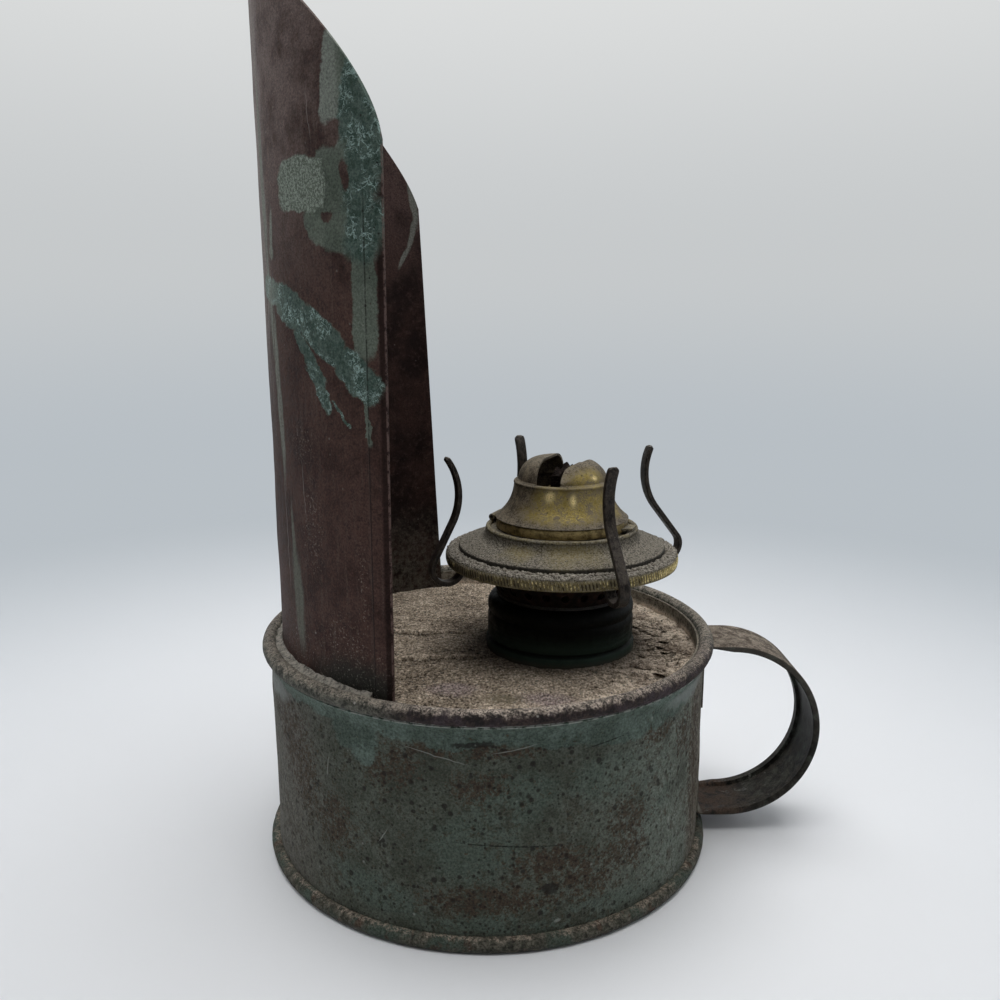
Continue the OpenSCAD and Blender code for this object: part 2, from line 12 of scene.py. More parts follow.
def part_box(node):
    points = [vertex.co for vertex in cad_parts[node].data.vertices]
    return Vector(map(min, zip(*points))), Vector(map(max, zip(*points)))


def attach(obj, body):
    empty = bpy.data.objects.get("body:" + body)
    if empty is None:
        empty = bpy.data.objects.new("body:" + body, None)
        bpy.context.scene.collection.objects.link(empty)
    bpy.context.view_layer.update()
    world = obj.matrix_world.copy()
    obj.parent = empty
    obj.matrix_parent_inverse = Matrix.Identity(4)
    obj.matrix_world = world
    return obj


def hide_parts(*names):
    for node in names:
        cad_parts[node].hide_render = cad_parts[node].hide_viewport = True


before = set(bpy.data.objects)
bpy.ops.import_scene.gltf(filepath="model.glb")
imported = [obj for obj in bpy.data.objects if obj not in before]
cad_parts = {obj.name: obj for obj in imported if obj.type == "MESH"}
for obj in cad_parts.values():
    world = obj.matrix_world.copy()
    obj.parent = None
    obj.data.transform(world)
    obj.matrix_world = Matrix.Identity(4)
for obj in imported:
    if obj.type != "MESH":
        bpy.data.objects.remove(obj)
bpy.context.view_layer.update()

# Side band of the font: one strip of tinplate bent into a ring, painted green and worn through to rust.
# Its top flares out to the rolled seam, and handling has dented it a little all over.
MM = 1000.0


def span(node):
    """Lowest and highest corners of a CAD node, in millimetres."""
    low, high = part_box(node)
    return np.array(low) * MM, np.array(high) * MM


def arc(centre_r, centre_z, radius, start, end, count=10):
    """Points of an arc in an outline, from one angle to another in degrees."""
    angles = np.radians(np.linspace(start, end, count + 1))
    return [(centre_r + radius * math.cos(a), centre_z + radius * math.sin(a)) for a in angles]


def straight(start, end, step):
    """Points from start up to, but not including, end, about a step apart."""
    count = max(1, round(math.dist(start, end) / step))
    return [tuple(np.array(start) + (np.array(end) - start) * i / count) for i in range(count)]


def turned(outline, steps, axis_x=0.0, start=0.0, sweep=360.0):
    """Rows of points from turning an outline of radius and height round an upright axis."""
    outline = np.array(outline, float)
    full = sweep >= 360.0
    angles = np.radians(start + np.linspace(0.0, sweep, steps, endpoint=not full))
    x = axis_x + outline[:, :1] * np.cos(angles)
    y = outline[:, :1] * np.sin(angles)
    z = np.repeat(outline[:, 1:], steps, axis=1)
    return np.stack([x, y, z], axis=-1)


def lumps(points, size, seed=0, octaves=2):
    """Smooth random heights from about -1 to 1 at the points; the widest lumps are one size across."""
    total = np.zeros(points.shape[:-1])
    for octave in range(octaves):
        spot = points * (2.0 ** octave / size) + seed * 7.13 + octave * 3.7
        cell = np.floor(spot).astype(np.int64)
        part = spot - cell
        part = part * part * (3.0 - 2.0 * part)
        for corner in itertools.product((0, 1), repeat=3):
            at = cell + np.array(corner)
            mixed = (at[..., 0] * 73856093) ^ (at[..., 1] * 19349663) ^ (at[..., 2] * 83492791) ^ (seed * 40503)
            mixed = ((mixed ^ (mixed >> 13)) * 1274126177) & 0x7FFFFFFF
            mixed ^= mixed >> 16
            weight = np.prod(np.where(np.array(corner) == 1, part, 1.0 - part), axis=-1)
            total += weight * ((mixed & 0xFFFF) / 32767.5 - 1.0) * 0.5 ** octave
    return total


def fade(value, low, high):
    """Smooth step from 0 at low to 1 at high, which may lie either way round."""
    t = np.clip((value - low) / (high - low), 0.0, 1.0)
    return t * t * (3.0 - 2.0 * t)


def push_out(rows, amount, axis_x=0.0):
    """Moves points away from an upright axis by an amount for each point."""
    out = rows[..., :2] - (axis_x, 0.0)
    out = out / np.maximum(np.linalg.norm(out, axis=-1, keepdims=True), 1e-9)
    moved = rows.copy()
    moved[..., :2] += out * amount[..., None]
    return moved


def skin(rows, ends="joined"):
    """Closed mesh through rows of points, each row a loop. Its first and last rows are joined to each other,
    or each is closed by strips across a folded loop, or by one flat face."""
    rows = np.asarray(rows, float)
    count, width = rows.shape[:2]
    i, j = np.meshgrid(np.arange(count if ends == "joined" else count - 1), np.arange(width), indexing="ij")
    after_i, after_j = (i + 1) % count, (j + 1) % width
    corners = [i * width + j, i * width + after_j, after_i * width + after_j, after_i * width + j]
    faces = np.stack(corners, axis=-1).reshape(-1, 4).tolist()
    for row in (0, count - 1) if ends != "joined" else ():
        if ends == "flat":
            faces.append([row * width + k for k in range(width)])
        else:
            faces += [[row * width + k for k in (a, a + 1, width - 2 - a, width - 1 - a)]
                      for a in range(width // 2 - 1)]
    shell = bmesh.new()
    points = [shell.verts.new(p) for p in rows.reshape(-1, 3) / MM]
    for face in faces:
        shell.faces.new([points[k] for k in face])
    bmesh.ops.remove_doubles(shell, verts=shell.verts, dist=1e-6)
    bmesh.ops.recalc_face_normals(shell, faces=shell.faces)
    mesh = bpy.data.meshes.new("skin")
    shell.to_mesh(mesh)
    shell.free()
    return mesh


def piece(name, skins, body, material, nodes=(), crease=40.0):
    """One named object from its skins, riding on its body and standing for its CAD nodes."""
    whole = bmesh.new()
    for mesh in skins:
        whole.from_mesh(mesh)
    mesh = bpy.data.meshes.new(name)
    whole.to_mesh(mesh)
    whole.free()
    mesh.shade_smooth()
    mesh.set_sharp_from_angle(angle=math.radians(crease))
    mesh.materials.append(material)
    made = bpy.data.objects.new(name, mesh)
    bpy.context.scene.collection.objects.link(made)
    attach(made, body)
    if nodes:
        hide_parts(*nodes)
    return made


class Nodes:
    """Places nodes in a tree, one a call: numbers and colours are set on their sockets, outputs are linked."""

    def __init__(self, tree):
        self.tree = tree

    def add(self, kind, inputs=None, out=0, **settings):
        node = self.tree.nodes.new(kind)
        for name, value in settings.items():
            setattr(node, name, value)
        for place, value in (inputs or {}).items():
            self.put(node.inputs[place], value)
        return node.outputs[out]

    def put(self, socket, value):
        if isinstance(value, bpy.types.NodeSocket):
            self.tree.links.new(value, socket)
        elif socket.type == "RGBA":
            socket.default_value = (*value, 1.0)
        else:
            socket.default_value = value

    def maths(self, operation, a, b=0.0):
        return self.add("ShaderNodeMath", {0: a, 1: b}, operation=operation)

    def vector(self, operation, a, b):
        return self.add("ShaderNodeVectorMath", {0: a, 1: b}, operation=operation)

    def most(self, *masks):
        """Largest of several masks."""
        result = masks[0]
        for mask in masks[1:]:
            result = self.maths("MAXIMUM", result, mask)
        return result

    def both(self, *masks):
        """Product of several masks."""
        result = masks[0]
        for mask in masks[1:]:
            result = self.maths("MULTIPLY", result, mask)
        return result

    def rise(self, value, low, high, start=0.0, end=1.0):
        """Smooth change from start to end as a value goes from low to high."""
        sockets = {"Value": value, "From Min": low, "From Max": high, "To Min": start, "To Max": end}
        return self.add("ShaderNodeMapRange", sockets, interpolation_type="SMOOTHSTEP")

    def noise(self, where, size, detail=3.0, roughness=0.55, out=0):
        """Cloudy noise whose clouds are about one size across, in the units of where."""
        sockets = {"Vector": where, "Scale": 1.0 / size, "Detail": detail, "Roughness": roughness}
        return self.add("ShaderNodeTexNoise", sockets, out=out)

    def mix(self, mask, a, b):
        return self.add("ShaderNodeMix", {0: mask, 6: a, 7: b}, out=2, data_type="RGBA")

    def split(self, where, out):
        return self.add("ShaderNodeSeparateXYZ", {0: where}, out=out)

    def use(self, group, inputs, out=0):
        node = self.tree.nodes.new("ShaderNodeGroup")
        node.node_tree = bpy.data.node_groups[group]
        for place, value in inputs.items():
            self.put(node.inputs[place], value)
        return node.outputs[out]


def shared_effect(name, inputs, outputs):
    """New shader node group with named sockets; returns its node placer and its input and output nodes."""
    tree = bpy.data.node_groups.new(name, "ShaderNodeTree")
    for direction, sockets in (("INPUT", inputs), ("OUTPUT", outputs)):
        for socket, kind in sockets.items():
            tree.interface.new_socket(name=socket, in_out=direction, socket_type="NodeSocket" + kind)
    return Nodes(tree), tree.nodes.new("NodeGroupInput").outputs, tree.nodes.new("NodeGroupOutput").inputs


def one_patch():
    """Shared effect: a patch on a surface, from oval to square-cornered. Along and Across are its two directions,
    each divided by its half length; the edge softens from Outer to Inner."""
    inputs = {"Place": "Vector", "Centre": "Vector", "Along": "Vector", "Across": "Vector", "Square": "Float",
              "Outer": "Float", "Inner": "Float"}
    n, given, result = shared_effect("one patch", inputs, {"Mask": "Float"})
    offset = n.vector("SUBTRACT", given["Place"], given["Centre"])
    way = [n.add("ShaderNodeVectorMath", {0: offset, 1: given[side]}, out=1, operation="DOT_PRODUCT")
           for side in ("Along", "Across")]
    both_ways = n.add("ShaderNodeCombineXYZ", {0: way[0], 1: way[1]})
    oval = n.add("ShaderNodeVectorMath", {0: both_ways}, out=1, operation="LENGTH")
    square = n.most(n.maths("ABSOLUTE", way[0]), n.maths("ABSOLUTE", way[1]))
    far = n.add("ShaderNodeMix", {0: given["Square"], 2: oval, 3: square})
    n.put(result["Mask"], n.rise(far, given["Outer"], given["Inner"]))


def grained_effect():
    """Shared effect: a colour broken up by fine grain, lighter and darker by an amount."""
    inputs = {"Colour": "Color", "Place": "Vector", "Size": "Float", "Amount": "Float"}
    n, given, result = shared_effect("grained", inputs, {"Colour": "Color"})
    scale = n.maths("DIVIDE", 1.0, given["Size"])
    grain = n.add("ShaderNodeTexNoise", {"Vector": given["Place"], "Scale": scale, "Detail": 2.0, "Roughness": 0.8})
    darkest, lightest = n.maths("SUBTRACT", 1.0, given["Amount"]), n.maths("ADD", 1.0, given["Amount"])
    share = n.add("ShaderNodeMapRange", {"Value": grain, "From Min": 0.34, "From Max": 0.66, "To Min": darkest,
                                         "To Max": lightest})
    n.put(result["Colour"], n.add("ShaderNodeVectorMath", {0: given["Colour"], "Scale": share}, operation="SCALE"))


def cracks_effect():
    """Shared effect: fine branching cracks, drawn where cloudy noise passes through its middle value."""
    inputs = {"Place": "Vector", "Size": "Float", "Width": "Float"}
    n, given, result = shared_effect("fine cracks", inputs, {"Mask": "Float"})
    scale = n.maths("DIVIDE", 1.0, given["Size"])
    cloud = n.add("ShaderNodeTexNoise", {"Vector": given["Place"], "Scale": scale, "Detail": 3.0, "Roughness": 0.62,
                                         "Distortion": 0.6})
    away = n.maths("ABSOLUTE", n.maths("SUBTRACT", cloud, 0.5))
    n.put(result["Mask"], n.rise(away, given["Width"], 0.0))


def flecks_effect():
    """Shared effect: small round flecks of uneven size, in a share of the cells of a random mesh."""
    inputs = {"Place": "Vector", "Cell": "Float", "Share": "Float", "Spread": "Float"}
    n, given, result = shared_effect("flecks", inputs, {"Mask": "Float"})
    scale = n.maths("DIVIDE", 1.0, given["Cell"])
    cells = n.add("ShaderNodeTexVoronoi", {"Vector": given["Place"], "Scale": scale}, out=0).node
    chance = n.split(cells.outputs["Color"], 0)
    reach = n.maths("MULTIPLY", given["Spread"], n.maths("ADD", n.split(cells.outputs["Color"], 1), 0.4))
    round_spot = n.rise(n.maths("SUBTRACT", cells.outputs["Distance"], reach), 0.08, -0.08)
    n.put(result["Mask"], n.both(round_spot, n.maths("LESS_THAN", chance, given["Share"])))


def wrapped_effect():
    """Shared effect: place on a round wall as the way along it from the front and the height, in mm."""
    inputs = {"Place": "Vector", "Axis": "Float", "Radius": "Float"}
    n, given, result = shared_effect("round the wall", inputs, {"Wall": "Vector"})
    across = n.maths("SUBTRACT", n.split(given["Place"], 0), given["Axis"])
    toward = n.maths("MULTIPLY", n.split(given["Place"], 1), -1.0)
    along = n.maths("MULTIPLY", n.maths("ARCTAN2", across, toward), given["Radius"])
    wall = n.add("ShaderNodeCombineXYZ", {0: along, 1: n.split(given["Place"], 2)})
    n.put(result["Wall"], wall)


one_patch()
grained_effect()
cracks_effect()
flecks_effect()
wrapped_effect()


def coat(name, gloss=0.5):
    """New material: the material, its node placer, its shader and the place on the piece in mm."""
    material = bpy.data.materials.new(name)
    material.use_nodes = True
    n = Nodes(material.node_tree)
    at = n.add("ShaderNodeTexCoord", out=3)
    place = n.add("ShaderNodeVectorMath", {0: at, "Scale": MM}, operation="SCALE")
    shader = material.node_tree.nodes["Principled BSDF"].inputs
    shader["Specular IOR Level"].default_value = gloss
    return material, n, shader, place


def relief(n, shader, height, depth):
    """Surface relief: height from 0 to 1 raises the surface by a depth in mm."""
    n.put(shader["Normal"], n.add("ShaderNodeBump", {"Height": height, "Distance": depth / MM, "Strength": 1.0}))


def ragged(n, place, size, amount, detail=4.0):
    """Place shifted by cloudy noise, so that the patches drawn on it get ragged edges."""
    cloud = n.noise(place, size, detail, 0.6, out=1)
    shift = n.vector("SUBTRACT", cloud, (0.5, 0.5, 0.5))
    return n.add("ShaderNodeVectorMath", {0: shift, 1: (amount, amount, amount), 2: place}, operation="MULTIPLY_ADD")


def patches(n, place, shapes, softness=0.15, square=0.0):
    """Mask of several patches, each given by centre, half sizes and turn in degrees."""
    masks = []
    for u, v, half_u, half_v, turn in shapes:
        c, s = math.cos(math.radians(turn)), math.sin(math.radians(turn))
        masks.append(n.use("one patch", {
            "Place": place, "Centre": (u, v, 0.0), "Along": (c / half_u, s / half_u, 0.0),
            "Across": (-s / half_v, c / half_v, 0.0), "Square": square, "Outer": 1.0 + softness,
            "Inner": 1.0 - softness}))
    return n.most(*masks)


def grained(n, colour, place, size=0.3, amount=0.35):
    """Colour broken up by fine grain."""
    return n.use("grained", {"Colour": colour, "Place": place, "Size": size, "Amount": amount})


font_r = span("font_base")[1][0] + 0.5
sheet_t = 0.5
plate_z = span("reflector")[0][2]
flare_r, flare_angle = 5.0, 34.0
seam_z = (span("top_rim")[0][2] + span("top_rim")[1][2]) / 2.0
flare_z = seam_z - 4.2
band_foot = span("font_side")[0][2]
band_steps = 600


def worn_paint():
    """Green paint gone dull: clean under the rim, freckled with brown below it, rusty in patches and at the sides."""
    material, n, shader, place = coat("worn_green_paint", 0.15)
    wall = n.use("round the wall", {"Place": place, "Axis": 0.0, "Radius": font_r})
    warped = ragged(n, wall, 2.4, 3.4)
    clouds = n.noise(place, 7.0, 4.0, 0.65)
    freckles = n.noise(ragged(n, place, 1.4, 1.0, 2.0), 1.2, 5.0, 0.78)
    fine = n.noise(place, 0.5, 3.0, 0.75)
    upright = n.noise(n.vector("MULTIPLY", wall, (1.0, 0.12, 1.0)), 0.7, 4.0, 0.7)
    along, up = n.split(wall, 0), n.split(wall, 1)
    band = patches(n, warped, [(0, 36.6, 46, 2.2, 0), (-22, 34.2, 4.6, 3.6, -8), (-20.6, 31.5, 2.6, 2.6, 0),
                               (12, 34.8, 9, 1.4, 0), (29, 34.4, 14, 2.2, 4), (-6, 34.6, 4.5, 1.6, 0)], 0.12)
    teal = patches(n, warped, [(-19, 7.6, 9, 3.4, -12), (12, 4.6, 24, 2.2, 2), (30, 21, 4.5, 9, 0),
                               (4, 25, 8, 5, 20), (33, 8, 6, 2.8, 20), (-3, 17, 8, 6, 0), (20, 27, 8, 4, 0)], 0.6)
    teal = n.rise(n.maths("ADD", n.both(teal, 0.30), n.both(n.maths("ADD", clouds, freckles), 0.5)), 0.56, 0.74)
    rusty = patches(n, warped, [(-39, 28, 5, 7, 8), (-35, 23, 4, 7, 0), (-15.0, 29.5, 5, 3.4, 30), (-9, 33.2, 6, 1.2, 3),
                                (1, 33.4, 7, 1.2, 0), (24, 18.5, 4, 4, 0), (23, 13, 5, 3, 0), (0, 8.4, 11, 2.6, 0),
                                (45, 20, 4, 17, 0), (31, 31.2, 4, 1.8, 0), (10, 14.5, 7, 2.6, 0), (39, 28, 3, 4, 0),
                                (16, 10.5, 6, 3.5, 0), (-2, 27.5, 5, 2.4, 0), (-27, 17, 4, 5, 0)], 0.7)
    rust = n.rise(n.maths("ADD", n.both(rusty, 0.13), n.both(n.maths("ADD", freckles, fine), 0.5)), 0.565, 0.63)
    stains = n.rise(n.maths("ADD", freckles, n.both(n.maths("SUBTRACT", clouds, 0.5), 0.8)), 0.50, 0.62)
    pits = n.use("flecks", {"Place": place, "Cell": 1.5, "Share": 0.55, "Spread": 0.24})
    tiny_pits = n.use("flecks", {"Place": place, "Cell": 0.75, "Share": 0.45, "Spread": 0.24})
    pale_specks = n.use("flecks", {"Place": n.vector("ADD", place, (50.0, 0.0, 0.0)), "Cell": 2.0, "Share": 0.16,
                                   "Spread": 0.09})
    left, right = n.rise(along, -23.0, -40.0), n.rise(along, 8.0, 36.0)
    far_right = n.rise(along, 40.0, 45.0)
    under_rim = n.both(n.rise(up, 37.35, 37.5), n.rise(up, 37.85, 37.7))
    white_line = n.both(under_rim, n.rise(n.noise(wall, 1.4, 4.0, 0.7), 0.42, 0.54), n.rise(along, -38.0, -16.0))
    pale_corners = n.both(patches(n, warped, [(-46, 34.2, 6, 1.7, 4), (40, 35.0, 7, 1.2, 0)], 0.5), 0.7)
    scratches = patches(n, ragged(n, wall, 3.0, 0.8, 2.0), [
        (-8.2, 32.3, 4.8, 0.10, -12), (-28, 26.5, 0.08, 2.0, -8), (-17, 17.5, 0.08, 1.5, -35),
        (34, 14.4, 0.35, 0.6, 0), (11, 4.0, 0.5, 0.25, 20), (4, 33.6, 3.4, 0.08, 10)], 0.4)
    seam_line = n.both(patches(n, wall, [(3.5, 17.7, 9.0, 0.11, -4), (19, 32.9, 4.0, 0.1, 6)], 0.4), n.rise(fine, 0.42, 0.5))
    chip = patches(n, warped, [(9.9, 10.0, 1.3, 1.2, 0), (-2.5, 34.4, 3.2, 0.6, 3)], 0.15)
    colour = n.mix(n.rise(clouds, 0.36, 0.62), (0.054, 0.060, 0.046), (0.090, 0.102, 0.082))
    colour = n.mix(n.both(teal, 0.75), colour, (0.078, 0.102, 0.083))
    colour = n.mix(n.both(right, n.rise(clouds, 0.30, 0.58), 0.8), colour, (0.150, 0.172, 0.145))
    colour = n.mix(n.both(left, 0.8), colour, n.mix(upright, (0.060, 0.056, 0.046), (0.150, 0.142, 0.120)))
    colour = n.mix(n.both(far_right, 0.8), colour, n.mix(upright, (0.075, 0.066, 0.050), (0.190, 0.165, 0.125)))
    colour = n.mix(n.both(stains, 0.6), colour, (0.046, 0.038, 0.027))
    colour = n.mix(n.both(rust, 0.9), colour, n.mix(fine, (0.010, 0.008, 0.006), (0.088, 0.062, 0.042)))
    clean = n.mix(n.rise(clouds, 0.4, 0.6), (0.062, 0.086, 0.070), (0.104, 0.142, 0.122))
    colour = n.mix(n.both(band, n.rise(freckles, 0.66, 0.58), 0.9), colour, clean)
    colour = grained(n, colour, place, 0.42, 0.42)
    colour = n.mix(n.both(n.most(n.both(n.most(pits, tiny_pits), n.rise(band, 1.0, 0.5)), chip), 0.75), colour,
                   (0.012, 0.010, 0.008))
    colour = n.mix(pale_corners, colour, (0.22, 0.24, 0.23))
    colour = n.mix(n.most(white_line, n.both(scratches, 0.5), n.both(pale_specks, 0.5)), colour, (0.34, 0.36, 0.33))
    # Painted shade: the band is darkened where it tucks up under the rolled seam.
    colour = n.mix(n.both(n.rise(up, 37.9, 38.3), 0.6), colour, (0.020, 0.019, 0.016))
    colour = n.mix(seam_line, colour, (0.010, 0.011, 0.009))
    n.put(shader["Base Color"], colour)
    n.put(shader["Roughness"], n.rise(freckles, 0.3, 0.7, 0.55, 0.85))
    height = n.maths("ADD", n.both(freckles, 0.9), n.both(fine, 0.6))
    relief(n, shader, n.maths("SUBTRACT", height, n.both(pits, 0.3)), 0.26)
    return material


band_top = arc(font_r + flare_r, flare_z, flare_r, 180.0, 180.0 - flare_angle, 9)
band_back = arc(font_r + flare_r, flare_z, flare_r + sheet_t, 180.0 - flare_angle, 180.0, 6)
band_rows = turned(straight((font_r, band_foot), (font_r, flare_z), 0.5) + band_top + band_back
                   + straight((font_r - sheet_t, flare_z - 1.0), (font_r - sheet_t, band_foot), 3.0)
                   + [(font_r - sheet_t, band_foot)], band_steps)
held = fade(band_rows[..., 2], 1.5, 5.0) * fade(band_rows[..., 2], plate_z + 0.5, plate_z - 4.0)
dents = 0.30 * lumps(band_rows, 26.0, 3) + 0.07 * lumps(band_rows, 5.0, 4)
paint = worn_paint()
piece("side_band", [skin(push_out(band_rows, held * dents))], "lamp", paint, ["font_side"])

# Foot of the font: the side band's lower edge is rolled outward round the base plate into a bead, which has
# gathered pale dust on top and rust below.
bead_r = span("foot_bead")[1][2] / 2.0
bead_c = span("foot_bead")[1][0] - bead_r
lip_r, lip_t = 38.7, 0.6


def dusty_bead():
    """Dark green-brown rolled edge with speckled pinkish tan dust along its top and flecks of old paint."""
    material, n, shader, place = coat("dusty_foot_bead", 0.15)
    wall = n.use("round the wall", {"Place": place, "Axis": 0.0, "Radius": font_r})
    mottle = n.noise(place, 1.1, 5.0, 0.7)
    grain = n.noise(place, 0.32, 3.0, 0.75)
    upward = n.split(n.add("ShaderNodeTexCoord", out=1), 2)
    tops = n.maths("ADD", upward, n.both(n.maths("SUBTRACT", mottle, 0.5), 1.4))
    dust = n.both(n.rise(tops, 0.74, 1.05), n.rise(grain, 0.46, 0.56), n.rise(n.noise(wall, 4.0, 3.0), 0.34, 0.54))
    colour = n.mix(n.rise(mottle, 0.38, 0.62), (0.040, 0.040, 0.031), (0.105, 0.098, 0.078))
    colour = n.mix(n.rise(n.noise(wall, 7.0, 4.0), 0.46, 0.60), colour, (0.056, 0.072, 0.058))
    colour = n.mix(n.both(n.rise(n.noise(wall, 3.4, 4.0), 0.55, 0.66), 0.8), colour, (0.070, 0.044, 0.032))
    colour = grained(n, colour, place, 0.4, 0.5)
    colour = n.mix(n.both(dust, 0.9), colour, n.mix(mottle, (0.17, 0.135, 0.105), (0.44, 0.365, 0.295)))
    specks = n.use("flecks", {"Place": place, "Cell": 1.0, "Share": 0.25, "Spread": 0.14})
    colour = n.mix(n.both(specks, 0.5), colour, (0.24, 0.235, 0.21))
    n.put(shader["Base Color"], colour)
    n.put(shader["Roughness"], n.rise(grain, 0.2, 0.8, 0.65, 0.95))
    relief(n, shader, n.maths("ADD", mottle, n.both(grain, 0.6)), 0.26)
    return material


lip_angle = math.degrees(math.acos((font_r - bead_c) / bead_r))
bead_outline = (straight((lip_r, 0.0), (bead_c, 0.0), 0.6) + arc(bead_c, bead_r, bead_r, -90.0, lip_angle, 26)
                + [(font_r, lip_t), (lip_r, lip_t)])
bead_rows = turned(bead_outline, band_steps)
wear = -0.05 - 0.05 * lumps(bead_rows, 4.0, 8) - 0.04 * np.abs(lumps(bead_rows, 1.4, 9))
wear *= fade(bead_rows[..., 2], 0.1, 1.0)
bead_finish = dusty_bead()
piece("foot_bead_roll", [skin(push_out(bead_rows, wear))], "lamp", bead_finish, ["foot_bead"])

# Base plate: a plain tin disc inside the foot, bare and rusty underneath. Its CAD solid has the right shape.


def bare_rust():
    """Plain tin sheet gone brown, with darker blooms."""
    material, n, shader, place = coat("bare_rusty_tin", 0.3)
    bloom = n.noise(place, 6.0, 6.0, 0.65)
    grain = n.noise(place, 0.4, 4.0, 0.6)
    colour = n.mix(n.rise(bloom, 0.35, 0.7), (0.035, 0.024, 0.019), (0.11, 0.068, 0.042))
    colour = n.mix(n.both(n.rise(grain, 0.5, 0.8), 0.4), colour, (0.16, 0.13, 0.11))
    n.put(shader["Base Color"], colour)
    n.put(shader["Roughness"], n.rise(bloom, 0.3, 0.8, 0.6, 0.95))
    relief(n, shader, n.maths("ADD", bloom, n.both(grain, 0.3)), 0.2)
    return material


def dress(material, *nodes):
    """Gives CAD nodes, whose shape is kept, a better material."""
    for node in nodes:
        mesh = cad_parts[node].data
        mesh.materials.clear()
        mesh.materials.append(material)


rusty_tin = bare_rust()
dress(rusty_tin, "font_base")

# Top plate: a shallow tray of tinplate, its edge turned up inside the seam and a hole cut for the collar.
# Years of dust lie on it like felt: wrinkled on the left, lifting in flakes on the right.
collar_low, collar_high = span("collar")
burner_x = (collar_low[0] + collar_high[0]) / 2.0
collar_hole_r = 12.4
tray_r = 38.65
tray_top = span("font_top")[1][2]
tray_steps = 560


def settled_dust():
    """Felt of tan-brown dust: pale where it is thick, dark in its hollows and wrinkles, partly thin dust and partly
    painted shade, grey-green up the wall, with a painted shadow round the collar.
    """
    material, n, shader, place = coat("settled_dust", 0.1)
    depth = n.add("ShaderNodeAttribute", out=2, attribute_name="dust_depth")
    felt = n.noise(place, 0.9, 4.0, 0.8)
    sand = n.noise(n.vector("MULTIPLY", place, (1.0, 0.6, 1.0)), 0.36, 3.0, 0.75)
    drifts = n.noise(place, 7.0, 5.0, 0.65)
    # Colour follows the dust's height: hollows and wrinkle troughs go dark, partly thin dust and partly painted shade.
    shade = n.maths("ADD", n.both(depth, 0.7), n.both(n.maths("SUBTRACT", felt, 0.5), 1.9))
    shade = n.maths("ADD", shade, n.both(n.maths("SUBTRACT", sand, 0.5), 2.1))
    colour = n.mix(n.rise(shade, -0.12, 0.30), (0.038, 0.028, 0.020), (0.285, 0.232, 0.175))
    colour = n.mix(n.rise(shade, 0.30, 0.80), colour, (0.76, 0.645, 0.52))
    right_side = n.rise(n.split(place, 0), 14.0, 28.0)
    colour = n.mix(n.both(right_side, n.rise(drifts, 0.46, 0.64), 0.5), colour, (0.120, 0.082, 0.063))
    purple = patches(n, ragged(n, place, 2.0, 4.0), [(9.5, -26.5, 4.4, 2.4, -8), (7.0, -32.0, 6.0, 1.6, 0),
                                                     (-6, -22, 4, 2.4, 0), (21, -31, 6, 2, 25)], 0.6)
    colour = n.mix(n.both(purple, 0.6), colour, n.mix(n.rise(sand, 0.4, 0.6), (0.080, 0.058, 0.062),
                                                      (0.38, 0.305, 0.32)))
    olive = patches(n, ragged(n, place, 2.4, 3.0), [(2.5, -26.5, 3.4, 2.0, 0)], 0.6)
    colour = n.mix(n.both(olive, 0.6), colour, (0.10, 0.085, 0.050))
    from_collar = n.vector("SUBTRACT", n.vector("MULTIPLY", place, (1.0, 1.0, 0.0)), (burner_x, 0.0, 0.0))
    from_collar = n.add("ShaderNodeVectorMath", {0: from_collar}, out=1, operation="LENGTH")
    shadowed = n.rise(n.maths("ADD", from_collar, n.both(drifts, 5.0)), 19.5, 15.8)
    colour = n.mix(n.both(shadowed, 0.6), colour, (0.050, 0.041, 0.031))
    dark = n.use("flecks", {"Place": n.vector("ADD", place, (9.0, 4.0, 0.0)), "Cell": 0.9, "Share": 0.4, "Spread": 0.22})
    colour = n.mix(n.both(dark, 0.55), colour, (0.026, 0.019, 0.014))
    specks = n.use("flecks", {"Place": place, "Cell": 0.8, "Share": 0.3, "Spread": 0.15})
    colour = n.mix(n.both(specks, 0.6), colour, (0.72, 0.64, 0.54))
    wall = n.rise(n.maths("ADD", n.split(place, 2), n.both(drifts, 1.6)), plate_z + 1.8, plate_z + 3.0)
    wall_colour = n.mix(n.rise(felt, 0.35, 0.6), (0.040, 0.038, 0.029), (0.190, 0.178, 0.145))
    colour = n.mix(n.both(wall, 0.85), colour, wall_colour)
    n.put(shader["Base Color"], colour)
    n.put(shader["Roughness"], n.rise(felt, 0.2, 0.8, 0.86, 1.0))
    relief(n, shader, n.maths("ADD", felt, n.both(sand, 0.6)), 0.6)
    return material


